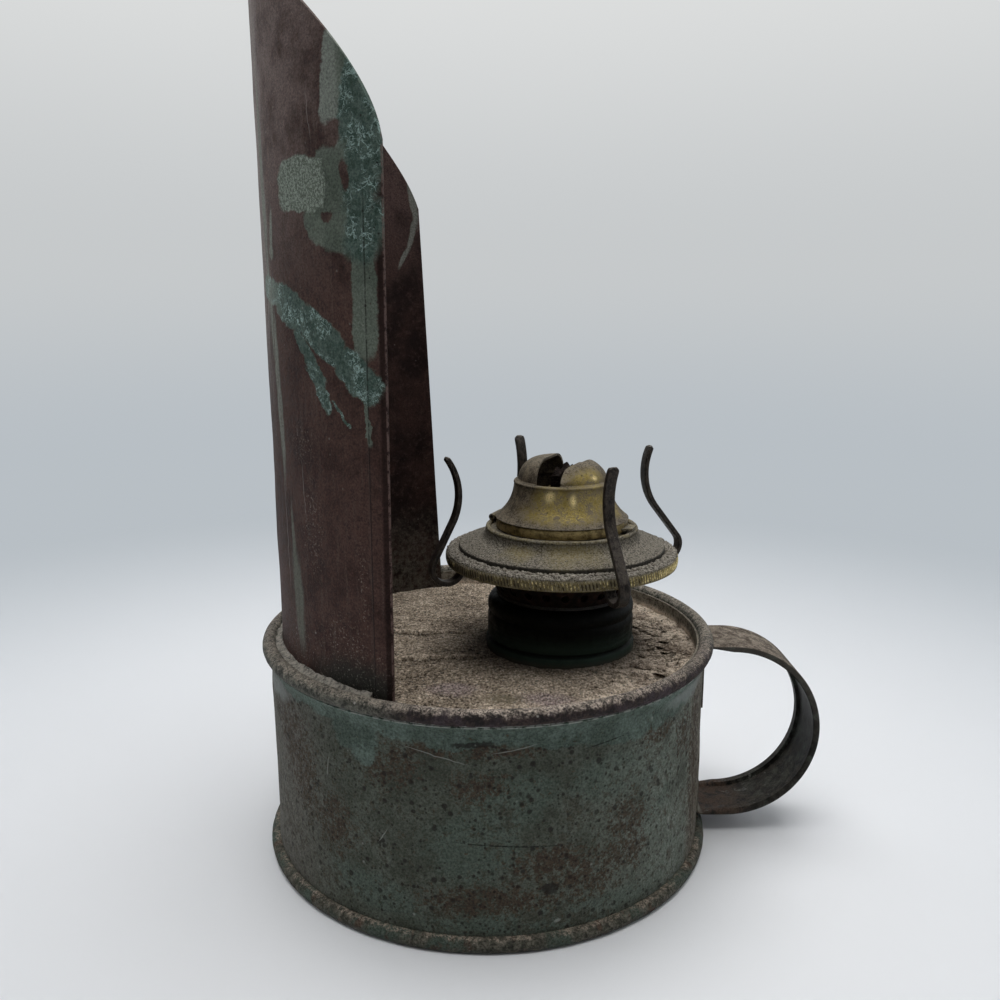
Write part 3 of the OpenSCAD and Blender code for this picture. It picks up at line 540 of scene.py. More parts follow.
def dust_height(points):
    """Depth of the dust on the tray, in mm: felt, wrinkles on the left, ridges and scales on the right."""
    flat = points * (1.0, 1.0, 0.0)
    x, y = points[..., 0], points[..., 1]
    depth = 0.30 + 0.16 * lumps(flat, 8.0, 21) + 0.10 * lumps(flat, 2.2, 22, 3)
    wander = 1.9 * lumps(flat, 9.0, 23, 3) + 0.7 * lumps(flat, 2.6, 28, 2)
    left = fade(x, 3.0, -5.0)
    for line_y, deep, width in ((-7.6, 0.40, 0.7), (5.4, 0.28, 0.6), (-17.5, 0.08, 0.7), (14.0, 0.12, 0.7)):
        away = (y - line_y - wander) / width
        broken = 0.35 + 0.65 * fade(lumps(flat, 4.0, 29, 2), -0.5, 0.3)
        depth += left * deep * broken * (0.8 * np.exp(-(away - 1.6) ** 2) - np.exp(-away ** 2))
    right = fade(x, 10.0, 22.0)
    scales = np.abs(lumps(flat * (0.8, 1.9, 1.0), 5.0, 24, 3))
    depth += right * (0.42 * fade(scales, 0.03, 0.10) * (0.75 + 0.25 * lumps(flat, 3.0, 25)) - 0.12)
    from_collar = np.hypot(x - burner_x, y) - 13.9
    depth += 0.18 * np.exp(-np.maximum(from_collar, 0.0) / 1.1) * (0.6 + 0.4 * lumps(flat, 2.0, 26, 2))
    from_wall = tray_r - np.hypot(x, y)
    depth += 0.45 * np.exp(-np.maximum(from_wall, 0.0) / 1.4) * (0.55 + 0.45 * lumps(flat, 3.0, 27, 2))
    return np.clip(depth, 0.04, 1.4)


def tray_ring(share, z):
    """One loop of points between the collar's hole and the tray's wall, by its share of the way out."""
    angles = np.linspace(0.0, 2.0 * math.pi, tray_steps, endpoint=False)
    radius = collar_hole_r + share * (tray_r - collar_hole_r)
    across = burner_x * (1.0 - share)
    return np.stack([across + radius * np.cos(angles), radius * np.sin(angles), np.full(tray_steps, z)], axis=-1)


floor_rows = [tray_ring(share, plate_z) for share in np.linspace(0.0, 1.0, 76)]
lifted = [row + dust_height(row)[:, None] * (0.0, 0.0, 1.0) for row in floor_rows]
wall_rows = list(turned([(tray_r, plate_z + 1.3), (tray_r + 0.02, tray_top), (tray_r + 0.5, tray_top),
                         (tray_r + 0.5, plate_z - sheet_t)], tray_steps))
under_rows = [tray_ring(share, plate_z - sheet_t) for share in (1.0, 0.75, 0.5, 0.25, 0.0)]
dust_finish = settled_dust()
tray = piece("dusty_tray", [skin(lifted + wall_rows + under_rows)], "lamp", dust_finish, ["font_top"])
tray_points = np.array([v.co for v in tray.data.vertices]) * MM
tray.data.attributes.new("dust_depth", "FLOAT", "POINT").data.foreach_set(
    "value", np.clip((tray_points[:, 2] - plate_z) / 0.75, 0.0, 1.0))

# Rolled seam round the top: band and tray edges folded together over a wire. It is dusty grey-green where
# hands miss it on the left, and rubbed to dark purple-brown along the front and right.
rim_low, rim_high = span("top_rim")
rim_r = (rim_high[2] - rim_low[2]) / 2.0
rim_c = rim_high[0] - rim_r
rim_z = rim_low[2] + rim_r


def rubbed_rim():
    """Rusty rolled edge, dusty on top and on the left, with pale paint chips along its underside."""
    material, n, shader, place = coat("rubbed_rim", 0.2)
    wall = n.use("round the wall", {"Place": place, "Axis": 0.0, "Radius": font_r})
    mottle = n.noise(place, 1.2, 5.0, 0.72)
    grain = n.noise(place, 0.3, 3.0, 0.75)
    along = n.split(wall, 0)
    upward = n.split(n.add("ShaderNodeTexCoord", out=1), 2)
    colour = n.mix(n.rise(mottle, 0.38, 0.62), (0.012, 0.009, 0.009), (0.058, 0.042, 0.038))
    colour = n.mix(n.both(n.rise(n.noise(wall, 4.0, 4.0), 0.5, 0.60), 0.6), colour, (0.056, 0.041, 0.048))
    left = n.most(n.rise(along, -10.0, -20.0), n.rise(along, 46.0, 58.0))
    olive = n.mix(n.rise(mottle, 0.36, 0.6), (0.026, 0.027, 0.021), (0.150, 0.148, 0.122))
    colour = n.mix(n.both(left, 0.92), colour, olive)
    tops = n.maths("ADD", upward, n.both(n.maths("SUBTRACT", mottle, 0.5), 2.0))
    dust = n.both(n.rise(tops, 0.30, 1.10), n.rise(grain, 0.38, 0.54))
    middle = n.both(n.rise(along, -14.0, -6.0, 0.45, 1.0), n.rise(along, 40.0, 16.0, 0.4, 1.0))
    dust_colour = n.mix(n.both(middle, n.rise(mottle, 0.3, 0.6)), (0.150, 0.132, 0.106), (0.52, 0.445, 0.375))
    colour = grained(n, n.mix(n.both(dust, 0.85), colour, dust_colour), place, 0.36, 0.45)
    specks = n.use("flecks", {"Place": place, "Cell": 1.2, "Share": 0.2, "Spread": 0.13})
    colour = n.mix(n.both(specks, 0.7), colour, (0.44, 0.42, 0.38))
    dark_specks = n.use("flecks", {"Place": n.vector("ADD", place, (4.0, 2.0, 0.0)), "Cell": 0.9, "Share": 0.4,
                                   "Spread": 0.2})
    colour = n.mix(n.both(dark_specks, 0.75), colour, (0.010, 0.008, 0.008))
    height_mm = n.split(place, 2)
    chips = n.rise(n.noise(wall, 1.2, 5.0, 0.7), 0.48, 0.55)
    underside = n.both(n.rise(height_mm, seam_z - 0.85, seam_z - 1.1), chips, n.rise(along, -30.0, -16.0),
                       n.rise(along, 48.0, 34.0))
    colour = n.mix(n.both(underside, 0.8), colour, (0.46, 0.48, 0.44))
    n.put(shader["Base Color"], colour)
    n.put(shader["Roughness"], n.rise(mottle, 0.3, 0.7, 0.6, 0.9))
    relief(n, shader, n.maths("ADD", mottle, n.both(grain, 0.7)), 0.32)
    return material


rim_rows = turned(arc(rim_c, rim_z, rim_r - 0.02, 0.0, 360.0, 34)[:-1], band_steps)
rim_wear = -0.05 - 0.06 * lumps(rim_rows, 6.0, 31) - 0.04 * np.abs(lumps(rim_rows, 1.6, 32))
rim_rows = push_out(rim_rows, rim_wear)
rim_rows[..., 2] += 0.05 * lumps(rim_rows, 9.0, 33) * fade(rim_rows[..., 2], rim_high[2], rim_z)
piece("top_seam", [skin(rim_rows)], "lamp", rubbed_rim(), ["top_rim"])

# Reflector: a tall sheet of tin curved round the back of the tray, hemmed along both front edges and cut to an
# arch at the top. Purple-brown all over, with what is left of its green paint crackled in patches.
reflector_low, reflector_high = span("reflector")
reflector_foot_r, reflector_flare = 38.05, 0.8
arch_z, arch_drop, arch_half_w, arch_rise = 119.0, 5.0, 36.1, 36.18
near_edge_x = (14.5, 14.5)
far_edge_x = (10.7, 15.0)
hem_w, hem_t = 2.8, 0.5


def sheet_radius(z):
    """Outer radius of the reflector at a height."""
    return reflector_foot_r + reflector_flare * (z - plate_z) / (arch_z - plate_z)


def edge_angle(z, edge, side):
    """Angle from the back of the lamp to one front edge, at a height."""
    x = edge[0] + (edge[1] - edge[0]) * (z - plate_z) / (arch_z - plate_z)
    return side * np.arccos(np.clip(x / sheet_radius(z), -1.0, 1.0))


def arch_height(y):
    """Height of the reflector's arched top, whose far side is lower than its near side."""
    share = np.clip(y / arch_half_w, -1.0, 1.0)
    return arch_z - arch_drop * (1.0 + share) / 2.0 + arch_rise * np.sqrt(1.0 - share ** 2)


def sheet_rows(across, up):
    """Loops of points round the sheet's section, front and back, from its foot to its arch."""
    shares = np.linspace(-1.0, 1.0, across)
    shares = np.sign(shares) * np.abs(shares) ** 0.9
    top = np.full(across, arch_z)
    for _ in range(12):
        turn = np.where(shares < 0, edge_angle(top, near_edge_x, 1.0) * -shares,
                        -edge_angle(top, far_edge_x, 1.0) * shares)
        y = -sheet_radius(top) * np.sin(turn)
        top = arch_height(y)
    rows = []
    for level in np.linspace(0.0, 1.0, up):
        z = plate_z + level * (top - plate_z)
        near, far = edge_angle(z, near_edge_x, 1.0), edge_angle(z, far_edge_x, 1.0)
        turn = np.where(shares < 0, near * -shares, -far * shares)
        radius = sheet_radius(z)
        edge_x = np.where(shares < 0, radius * np.cos(near), radius * np.cos(far))
        behind = radius * np.cos(turn) - edge_x
        spot = np.stack([-radius * np.cos(turn), -radius * np.sin(turn), z], axis=-1)
        wave = 0.22 * lumps(spot, 30.0, 41) + 0.05 * lumps(spot, 7.0, 42)
        wave *= fade(z, plate_z, plate_z + 12.0) * fade(np.hypot(radius, 0), 60.0, 50.0)
        hem = hem_t * fade(behind, hem_w + 0.15, hem_w - 0.15) * fade(behind, -0.02, 0.3)
        outer = radius + wave + hem
        inner = radius - sheet_t + wave
        line = [np.stack([-r * np.cos(turn), -r * np.sin(turn), z], axis=-1) for r in (outer, inner)]
        rows.append(np.concatenate([line[0], line[1][::-1]]))
    return np.array(rows)


def crackled_tin():
    """Purple-brown tin, finely mottled, with green paint left in crackled patches, smooth stripes and streaks; painted
    shade, a painted shadow line and a painted highlight along the near front edge and its hem.
    """
    material, n, shader, place = coat("crackled_reflector_tin", 0.08)
    wall = n.use("round the wall", {"Place": place, "Axis": 0.0, "Radius": 38.5})
    along, up, from_edge = n.split(wall, 0), n.split(wall, 1), n.split(place, 0)
    edged = ragged(n, wall, 1.5, 1.8)
    clouds = n.noise(place, 9.0, 4.0, 0.65)
    upright = n.noise(n.vector("MULTIPLY", wall, (1.0, 0.07, 1.0)), 0.9, 4.0, 0.65)
    mottle = n.noise(place, 1.2, 5.0, 0.75)
    fine = n.noise(place, 0.34, 3.0, 0.75)
    outward = n.add("ShaderNodeVectorMath", {0: n.add("ShaderNodeTexCoord", out=1), 1: place}, out=1,
                    operation="DOT_PRODUCT")
    outside = n.rise(outward, -2.0, 2.0)
    near_side = n.both(n.rise(n.split(place, 1), 0.0, -10.0), outside)
    smooth = n.most(
        patches(n, edged, [(-18.0, 99.4, 2.3, 8.4, 0), (-21.8, 111.6, 5.6, 5.6, -12), (-22.4, 129.4, 2.2, 6.4, -8),
                           (-18.3, 84.0, 0.6, 5.4, 8), (-24.0, 116.0, 2.6, 4.4, 0)], 0.08, 0.7),
        patches(n, edged, [(-26.8, 109.6, 3.4, 2.0, -42), (-18.6, 119.5, 4.0, 12.5, -9), (-20.4, 128.0, 3.0, 6.0, -14)],
                0.10))
    crackled = n.most(
        patches(n, edged, [(-17.2, 120.0, 3.2, 9.4, -10), (-17.8, 109.0, 3.2, 4.6, -10), (-19.6, 127.0, 1.6, 6.5, -14)],
                0.20, 0.5),
        patches(n, edged, [(-43.0, 101.0, 4.8, 2.1, -12), (-35.0, 98.4, 5.6, 2.9, -22), (-27.0, 94.4, 5.8, 2.8, -34),
                           (-19.6, 88.6, 5.0, 2.7, -38), (-30.0, 90.6, 1.5, 5.6, 40), (-26.8, 85.6, 1.2, 3.0, 30),
                           (-22.9, 82.8, 0.25, 2.6, 40)], 0.08, 0.4))
    stippled = patches(n, ragged(n, wall, 2.2, 2.4), [(-30.6, 115.8, 6.0, 3.9, -2)], 0.06, 0.6)
    notches = patches(n, edged, [(-22.6, 122.4, 1.3, 1.7, 0), (-20.9, 116.4, 0.7, 2.0, 10), (-24.5, 111.0, 1.2, 0.7, 0),
                                 (-32.6, 92.0, 0.6, 3.4, 40)], 0.2)
    streaks = patches(n, ragged(n, wall, 3.0, 1.0, 2.0), [
        (-44.8, 117.0, 1.3, 15.0, 2), (-43.4, 98.5, 1.1, 9.0, 10), (-40.9, 84.0, 1.1, 13.0, 3),
        (-37.4, 59.0, 0.7, 8.0, 3), (-36.6, 52.0, 1.7, 8.5, 5), (-41.0, 110.0, 0.7, 3.4, -12),
        (-41.6, 107.0, 1.0, 1.2, 0)], 0.3)
    inner_streak = patches(n, ragged(n, wall, 4.0, 1.2, 2.0), [
        (-102.2, 127.4, 0.8, 3.2, -32), (-104.4, 120.0, 0.7, 5.0, -10), (-104.2, 113.5, 0.6, 3.8, 14),
        (-102.3, 108.5, 0.5, 2.6, 28)], 0.3)
    outer_paint = n.maths("SUBTRACT", n.most(smooth, crackled, stippled), notches)
    outer_paint = n.both(outer_paint, outside, n.rise(mottle, 0.74, 0.68))
    faded = n.both(streaks, n.rise(upright, 0.25, 0.55), outside)
    torn = ragged(n, place, 1.6, 1.2, 3.0)
    ridges = n.most(n.use("fine cracks", {"Place": torn, "Size": 2.8, "Width": 0.022}),
                    n.both(n.use("fine cracks", {"Place": torn, "Size": 1.4, "Width": 0.022}), 0.8))
    clusters = n.noise(place, 4.0, 3.0, 0.6)
    ridges = n.both(ridges, n.rise(clusters, 0.42, 0.56), crackled, outer_paint)
    brown = n.mix(n.rise(clouds, 0.36, 0.64), (0.034, 0.0175, 0.0140), (0.066, 0.037, 0.030))
    brown = n.mix(n.both(n.rise(mottle, 0.48, 0.66), 0.5), brown, (0.084, 0.046, 0.038))
    brown = n.mix(n.both(n.rise(upright, 0.52, 0.72), 0.4), brown, (0.100, 0.072, 0.062))
    brown = n.mix(n.both(n.rise(mottle, 0.46, 0.34), 0.6), brown, (0.016, 0.008, 0.007))
    pale_top = n.both(n.rise(up, 92.0, 138.0), n.rise(along, -20.0, -40.0, 0.5, 1.0), n.rise(along, -72.0, -52.0, 0.3, 1.0))
    brown = n.mix(n.both(pale_top, n.rise(clouds, 0.25, 0.6), 0.9), brown,
                  n.mix(mottle, (0.095, 0.066, 0.060), (0.240, 0.195, 0.180)))
    far_left = n.both(n.rise(along, -41.0, -47.0), n.rise(along, -58.0, -49.0), n.rise(up, 70.0, 110.0))
    brown = n.mix(n.both(far_left, n.rise(upright, 0.3, 0.6), 0.85), brown, n.mix(mottle, (0.19, 0.16, 0.15), (0.34, 0.31, 0.29)))
    foot = patches(n, ragged(n, wall, 4.0, 3.4), [(-22.0, 39.5, 9.0, 5.0, 0)], 0.5)
    brown = n.mix(n.both(foot, 0.9), brown, n.mix(clouds, (0.010, 0.011, 0.009), (0.036, 0.039, 0.034)))
    grit_low = n.both(n.rise(up, 52.0, 42.0), n.rise(fine, 0.62, 0.68), outside)
    brown = n.mix(n.both(grit_low, 0.6), brown, (0.26, 0.24, 0.21))
    # Darker band along the near front edge: partly worn paint, partly painted shade on the hem's rounded face turning
    # away.
    brown = n.mix(n.both(n.rise(from_edge, -15.7, -15.2), near_side, 0.8), brown, (0.014, 0.007, 0.006))
    inside = n.mix(n.rise(clouds, 0.38, 0.62), (0.010, 0.0045, 0.0038), (0.032, 0.016, 0.013))
    inside = n.mix(n.both(n.rise(mottle, 0.50, 0.66), 0.5), inside, (0.058, 0.036, 0.030))
    high_inside = n.rise(n.split(place, 2), 92.0, 132.0)
    inside = n.mix(n.both(high_inside, n.rise(clouds, 0.25, 0.55), 0.7), inside, (0.100, 0.066, 0.060))
    low_inside = n.rise(n.split(place, 2), 58.0, 42.0)
    inside = n.mix(n.both(low_inside, n.rise(mottle, 0.35, 0.6), 0.8), inside, (0.085, 0.075, 0.060))
    inside = n.mix(n.both(inner_streak, 0.85), inside, (0.165, 0.172, 0.150))
    brown = n.mix(outside, inside, brown)
    smooth_colour = n.mix(n.rise(clouds, 0.35, 0.65), (0.078, 0.096, 0.076), (0.124, 0.146, 0.118))
    pale_edge = n.rise(along, -20.5, -22.5)
    smooth_colour = n.mix(n.both(pale_edge, n.rise(up, 118.0, 124.0)), smooth_colour, (0.185, 0.205, 0.178))
    dark_teal, light_teal = (0.038, 0.064, 0.052), (0.084, 0.118, 0.100)
    crackle_colour = n.mix(n.rise(mottle, 0.38, 0.62), dark_teal, light_teal)
    stipple_colour = n.mix(n.rise(fine, 0.42, 0.58), (0.120, 0.142, 0.114), (0.205, 0.240, 0.203))
    paint_colour = n.mix(crackled, smooth_colour, crackle_colour)
    paint_colour = n.mix(stippled, paint_colour, stipple_colour)
    upper_left = n.both(n.rise(along, -36.0, -42.0), n.rise(up, 90.0, 96.0))
    paint_colour = n.mix(n.both(upper_left, 0.7), paint_colour, (0.175, 0.205, 0.175))
    holes = n.both(n.use("flecks", {"Place": place, "Cell": 0.8, "Share": 0.4, "Spread": 0.2}),
                   n.rise(along, -18.2, -17.9))
    colour = n.mix(outer_paint, brown, paint_colour)
    faded_colour = n.mix(n.rise(up, 80.0, 62.0), (0.180, 0.200, 0.168), (0.112, 0.120, 0.096))
    colour = n.mix(n.both(faded, 0.85), colour, faded_colour)
    colour = grained(n, colour, place, 0.34, 0.34)
    colour = n.mix(n.both(holes, outer_paint, 0.85), colour, (0.014, 0.012, 0.010))
    colour = n.mix(n.both(ridges, 0.9), colour, (0.34, 0.47, 0.44))
    # Painted shadow: a thin dark line cast by the step of the near hem.
    hem_line = n.both(n.rise(from_edge, -17.50, -17.38), n.rise(from_edge, -17.14, -17.26), near_side)
    colour = n.mix(n.both(hem_line, n.rise(mottle, 0.36, 0.5), n.rise(up, 118.0, 108.0), 0.7), colour, (0.008, 0.006, 0.005))
    # Painted highlight: a pale reddish line along the very front edge of the near hem.
    edge_highlight = n.both(n.rise(from_edge, -14.70, -14.60), near_side, n.rise(mottle, 0.40, 0.56))
    colour = n.mix(n.both(edge_highlight, 0.7), colour, (0.150, 0.100, 0.088))
    speckled = patches(n, edged, [(-31.0, 64.0, 2.4, 7.0, 0), (-24.0, 48.0, 4.0, 3.4, 0), (-20.0, 56.0, 0.8, 8.0, 0),
                                  (-33.0, 78.0, 3.0, 3.0, 0)], 0.6)
    bright_grit = n.both(speckled, n.rise(fine, 0.60, 0.66), outside)
    colour = n.mix(n.both(bright_grit, 0.7), colour, (0.30, 0.27, 0.24))
    hairs = patches(n, ragged(n, wall, 3.0, 1.2, 2.0), [
        (-27.6, 125.0, 0.08, 3.2, 6), (-40.2, 62.0, 0.10, 9.0, 2), (-33.0, 70.0, 0.07, 5.0, 5)], 0.5)
    specks = n.use("flecks", {"Place": place, "Cell": 2.0, "Share": 0.16, "Spread": 0.06})
    colour = n.mix(n.both(n.most(specks, n.both(hairs, outside, 0.7)), 0.5), colour, (0.40, 0.37, 0.34))
    n.put(shader["Base Color"], colour)
    n.put(shader["Roughness"], n.rise(mottle, 0.2, 0.8, 0.45, 0.70))
    relief(n, shader, n.maths("ADD", n.both(mottle, 0.8), n.maths("ADD", n.both(upright, 0.2), n.both(fine, 0.4))), 0.26)
    return material


tin = crackled_tin()
piece("reflector_sheet", [skin(sheet_rows(170, 190), "folded")], "lamp", tin, ["reflector"], 50.0)

# Solder along the reflector's foot, run into the corner between it and the top seam, dull and full of grit.
solder_low, solder_high = span("reflector_solder")
solder_r = reflector_foot_r


def gritty_solder():
    """Dull grey solder with grit and dust baked into it."""
    material, n, shader, place = coat("gritty_solder", 0.3)
    mottle = n.noise(place, 0.8, 5.0, 0.7)
    colour = n.mix(n.rise(mottle, 0.35, 0.6), (0.060, 0.056, 0.048), (0.36, 0.335, 0.29))
    bright = n.use("flecks", {"Place": place, "Cell": 0.55, "Share": 0.35, "Spread": 0.2})
    colour = n.mix(n.both(bright, 0.6), colour, (0.66, 0.63, 0.56))
    n.put(shader["Base Color"], colour)
    n.put(shader["Roughness"], n.rise(mottle, 0.3, 0.7, 0.5, 0.9))
    shader["Metallic"].default_value = 0.3
    relief(n, shader, mottle, 0.4)
    return material


solder_outline = [(solder_r - 0.1, plate_z + 0.1), (tray_r + 0.3, plate_z + 0.1), (tray_r + 0.7, tray_top + 0.4),
                  (tray_r + 0.25, tray_top + 0.55), (solder_r + 0.35, tray_top + 0.75), (solder_r + 0.05, tray_top + 1.1)]
solder_rows = turned(solder_outline, 300, start=118.0, sweep=124.0).transpose(1, 0, 2)
bumps = 0.30 * lumps(solder_rows, 2.2, 51, 3) * fade(solder_rows[..., 2], tray_top - 0.5, tray_top + 0.4)
solder_rows[..., 2] += bumps
piece("reflector_solder_run", [skin(solder_rows, "flat")], "lamp", gritty_solder(), ["reflector_solder"])

# Handle: a strap of tin with both edges folded in for stiffness, bent into a ring and soldered to the band.
# Its upper side is tan with dust and with painted light from above, its inside dark and still smooth.
handle_low, handle_high = span("handle")
strap_w = 12.3
loop_r = (handle_high[2] - handle_low[2]) / 2.0
loop_x = handle_high[0] - loop_r
loop_z = (handle_high[2] + handle_low[2]) / 2.0
strap_t, strap_hem = 0.6, 2.0
upper_tab, lower_tab = 12.0, 8.0


def strap_finish():
    """Brown tin strap: tan where it faces up, partly dust and partly painted light from above, dark and satin inside,
    rubbed pale along its hems.
    """
    material, n, shader, place = coat("dusty_strap", 0.12)
    upward = n.split(n.add("ShaderNodeTexCoord", out=1), 2)
    mottle = n.noise(place, 1.8, 5.0, 0.72)
    blotch = n.noise(place, 4.5, 4.0, 0.65)
    grain = n.noise(place, 0.3, 3.0, 0.7)
    height_mm = n.split(place, 2)
    colour = n.mix(n.rise(mottle, 0.36, 0.64), (0.006, 0.006, 0.005), (0.026, 0.024, 0.020))
    colour = n.mix(n.both(n.rise(blotch, 0.46, 0.58), n.rise(mottle, 0.4, 0.6), 0.8), colour, (0.040, 0.048, 0.040))
    # Faces that look up are painted tan: dust, and also painted light from above.
    dust = n.rise(n.maths("ADD", upward, n.both(n.maths("SUBTRACT", mottle, 0.5), 0.9)), 0.35, 1.0)
    dust = n.both(dust, n.rise(height_mm, 6.0, 24.0, 0.15, 1.0))
    colour = n.mix(n.both(dust, 0.9), colour,
                   n.mix(n.rise(mottle, 0.35, 0.65), (0.074, 0.058, 0.046), (0.235, 0.200, 0.162)))
    low = n.both(n.rise(height_mm, 14.0, 6.0), n.rise(n.split(place, 0), 52.0, 45.0))
    colour = n.mix(n.both(low, n.rise(mottle, 0.36, 0.56), 0.85), colour, (0.074, 0.046, 0.032))
    pale = n.both(n.rise(n.noise(place, 2.6, 5.0, 0.7), 0.62, 0.68), n.rise(height_mm, 18.0, 10.0))
    colour = n.mix(n.both(pale, 0.6), colour, (0.17, 0.175, 0.155))
    colour = grained(n, colour, place, 0.36, 0.4)
    side = n.maths("ABSOLUTE", n.split(place, 1))
    hem_line = n.both(n.rise(side, strap_w / 2 - 0.35, strap_w / 2 - 0.1), n.rise(height_mm, 18.0, 28.0, 0.2, 1.0))
    colour = n.mix(n.both(hem_line, 0.35), colour, (0.12, 0.108, 0.09))
    tab_paint = n.mix(n.rise(mottle, 0.4, 0.6), (0.10, 0.085, 0.066), (0.17, 0.165, 0.135))
    colour = n.mix(n.rise(n.split(place, 0), font_r + 1.1, font_r + 0.7), colour, tab_paint)
    n.put(shader["Base Color"], colour)
    n.put(shader["Roughness"], n.rise(n.maths("ADD", dust, mottle), 0.3, 1.3, 0.42, 0.9))
    relief(n, shader, n.maths("ADD", n.both(mottle, 0.8), n.both(grain, 0.5)), 0.22)
    return material


on_band, tab_t = font_r + 0.02, 0.36


def strap_path():
    """Side view of the strap's outer face, from its upper tab round the loop to its lower tab, with normals."""
    corner = 1.4
    path = straight((on_band, handle_high[2] - upper_tab), (on_band, handle_high[2] - corner), 0.9)
    path += arc(on_band + corner, handle_high[2] - corner, corner, 180.0, 90.0, 5)
    path += arc(loop_x, loop_z, loop_r, 90.0, -90.0, 90)
    path += arc(on_band + corner, handle_low[2] + corner, corner, -90.0, -180.0, 5)
    path += straight((on_band, handle_low[2] + corner + 0.9), (on_band, handle_low[2] + lower_tab), 0.9)
    path = np.array(path)
    along = np.gradient(path, axis=0)
    along /= np.linalg.norm(along, axis=1, keepdims=True)
    return path, np.stack([-along[:, 1], along[:, 0]], axis=1)


def strap_rows():
    """Loops round the strap's section, all along its path."""
    half = strap_w / 2.0
    round_off = 0.3
    section = [(-half + round_off, 0.0)] + straight((-half + 1.0, 0.0), (half - 1.0, 0.0), 0.8)
    section += [(half - 1.0, 0.0), (half - round_off, 0.0), (half - 0.06, -0.12), (half, -0.45), (half - 0.06, -0.9),
                (half - 0.35, -2 * strap_t), (half - strap_hem + 0.25, -2 * strap_t), (half - strap_hem, -strap_t - 0.25)]
    section += straight((half - strap_hem - 0.2, -strap_t), (-half + strap_hem + 0.2, -strap_t), 0.8)
    section += [(-half + strap_hem + 0.2, -strap_t), (-half + strap_hem, -strap_t - 0.25),
                (-half + strap_hem - 0.25, -2 * strap_t), (-half + 0.35, -2 * strap_t), (-half + 0.06, -0.9),
                (-half, -0.45), (-half + 0.06, -0.12)]
    section = np.array(section)
    path, out = strap_path()
    rows = []
    for spot, normal in zip(path, out):
        y = section[:, 0]
        on_wall = fade(np.array(spot[0]), font_r + 4.0, font_r + 0.6)
        thin = np.maximum(section[:, 1], -tab_t)
        depth = section[:, 1] * (1.0 - on_wall) + thin * on_wall
        drop = (font_r - np.sqrt(font_r ** 2 - y ** 2)) * on_wall
        x = spot[0] + normal[0] * depth - drop
        rows.append(np.stack([x, y, spot[1] + normal[1] * depth], axis=-1))
    rows = np.array(rows)
    rows += 0.05 * lumps(rows, 8.0, 61)[..., None] * (0.0, 1.0, 0.0)
    return rows


piece("strap_handle", [skin(strap_rows(), "flat")], "lamp", strap_finish(), ["handle"])

# Collar: a short brass ferrule soldered over the plate's hole, threaded inside for the burner. It was painted
# with the rest; its dark paint is made near black above as painted shade under the gallery, still green low down,
# with faint rings where its thread was rolled.
collar_r, collar_foot_r, bore_r = 13.6, 13.9, 11.7
collar_top = collar_high[2]
thread_pitch = 1.8


def black_green():
    """Dark paint made nearly black above as painted shade under the gallery, green below its lower groove, with painted
    shade in that groove, dust and a few hairs caught low down.
    """
    material, n, shader, place = coat("black_green_collar", 0.10)
    wall = n.use("round the wall", {"Place": place, "Axis": burner_x, "Radius": collar_r})
    mottle = n.noise(place, 1.6, 5.0, 0.65)
    grain = n.noise(place, 0.25, 3.0, 0.6)
    up = n.split(wall, 1)
    low = n.rise(n.maths("ADD", up, n.both(mottle, 2.0)), 43.4, 38.6)
    # Above the green foot the colour is near black: dark paint with painted shade under the gallery's overhang.
    colour = n.mix(low, (0.0020, 0.0030, 0.0022), n.mix(mottle, (0.016, 0.030, 0.023), (0.040, 0.066, 0.052)))
    right = n.both(n.rise(n.split(wall, 0), 8.0, 20.0), n.rise(mottle, 0.35, 0.6))
    colour = n.mix(n.both(right, 0.5), colour, (0.034, 0.036, 0.030))
    # Painted shade in the groove near the collar's foot.
    groove_shade = n.both(n.rise(up, plate_z + 2.0, plate_z + 2.4), n.rise(up, plate_z + 3.1, plate_z + 2.7))
    colour = n.mix(n.both(groove_shade, 0.8), colour, (0.002, 0.002, 0.002))
    dust = n.both(n.rise(n.maths("ADD", up, n.both(grain, -2.0)), plate_z + 0.8, plate_z - 0.6), 0.7)
    colour = n.mix(dust, colour, (0.070, 0.056, 0.042))
    hairs = n.use("flecks", {"Place": n.vector("MULTIPLY", place, (1.0, 1.0, 0.45)), "Cell": 1.1, "Share": 0.14,
                             "Spread": 0.05})
    colour = n.mix(n.both(hairs, n.rise(up, 45.0, 40.0), 0.5), colour, (0.16, 0.16, 0.135))
    n.put(shader["Base Color"], colour)
    n.put(shader["Roughness"], n.rise(mottle, 0.3, 0.7, 0.40, 0.7))
    relief(n, shader, n.maths("ADD", mottle, n.both(grain, 0.4)), 0.1)
    return material


def ringed(r, low, high, count, step=0.22):
    """Upright wall between two heights with faint rolled rings standing out of it."""
    heights = np.arange(low, high, step)
    return [(r + 0.10 * math.sin((z - low) / (high - low) * 2.0 * math.pi * count) ** 2, z) for z in heights]


collar_outline = [(collar_foot_r, plate_z - 0.4), (collar_foot_r, plate_z + 2.0), (collar_foot_r - 0.15, plate_z + 2.2),
                  (collar_r - 0.35, plate_z + 2.5), (collar_r - 0.05, plate_z + 3.0)]
collar_outline += ringed(collar_r - 0.05, plate_z + 3.2, collar_top - 3.9, 2)
collar_outline += [(collar_r, collar_top - 3.8), (collar_r - 0.35, collar_top - 3.1), (collar_r, collar_top - 2.4)]
collar_outline += arc(collar_r - 1.7, collar_top - 1.7, 1.7, 0.0, 90.0, 10)
collar_outline += [(bore_r + 0.1, collar_top), (bore_r, collar_top - 0.2)]
thread_foot = plate_z + 2.2
collar_outline += [(bore_r - 0.15 + 0.15 * math.cos(2.0 * math.pi * (z - thread_foot) / thread_pitch), z)
                   for z in np.arange(thread_foot + 4.0 * thread_pitch, thread_foot, -0.2)]
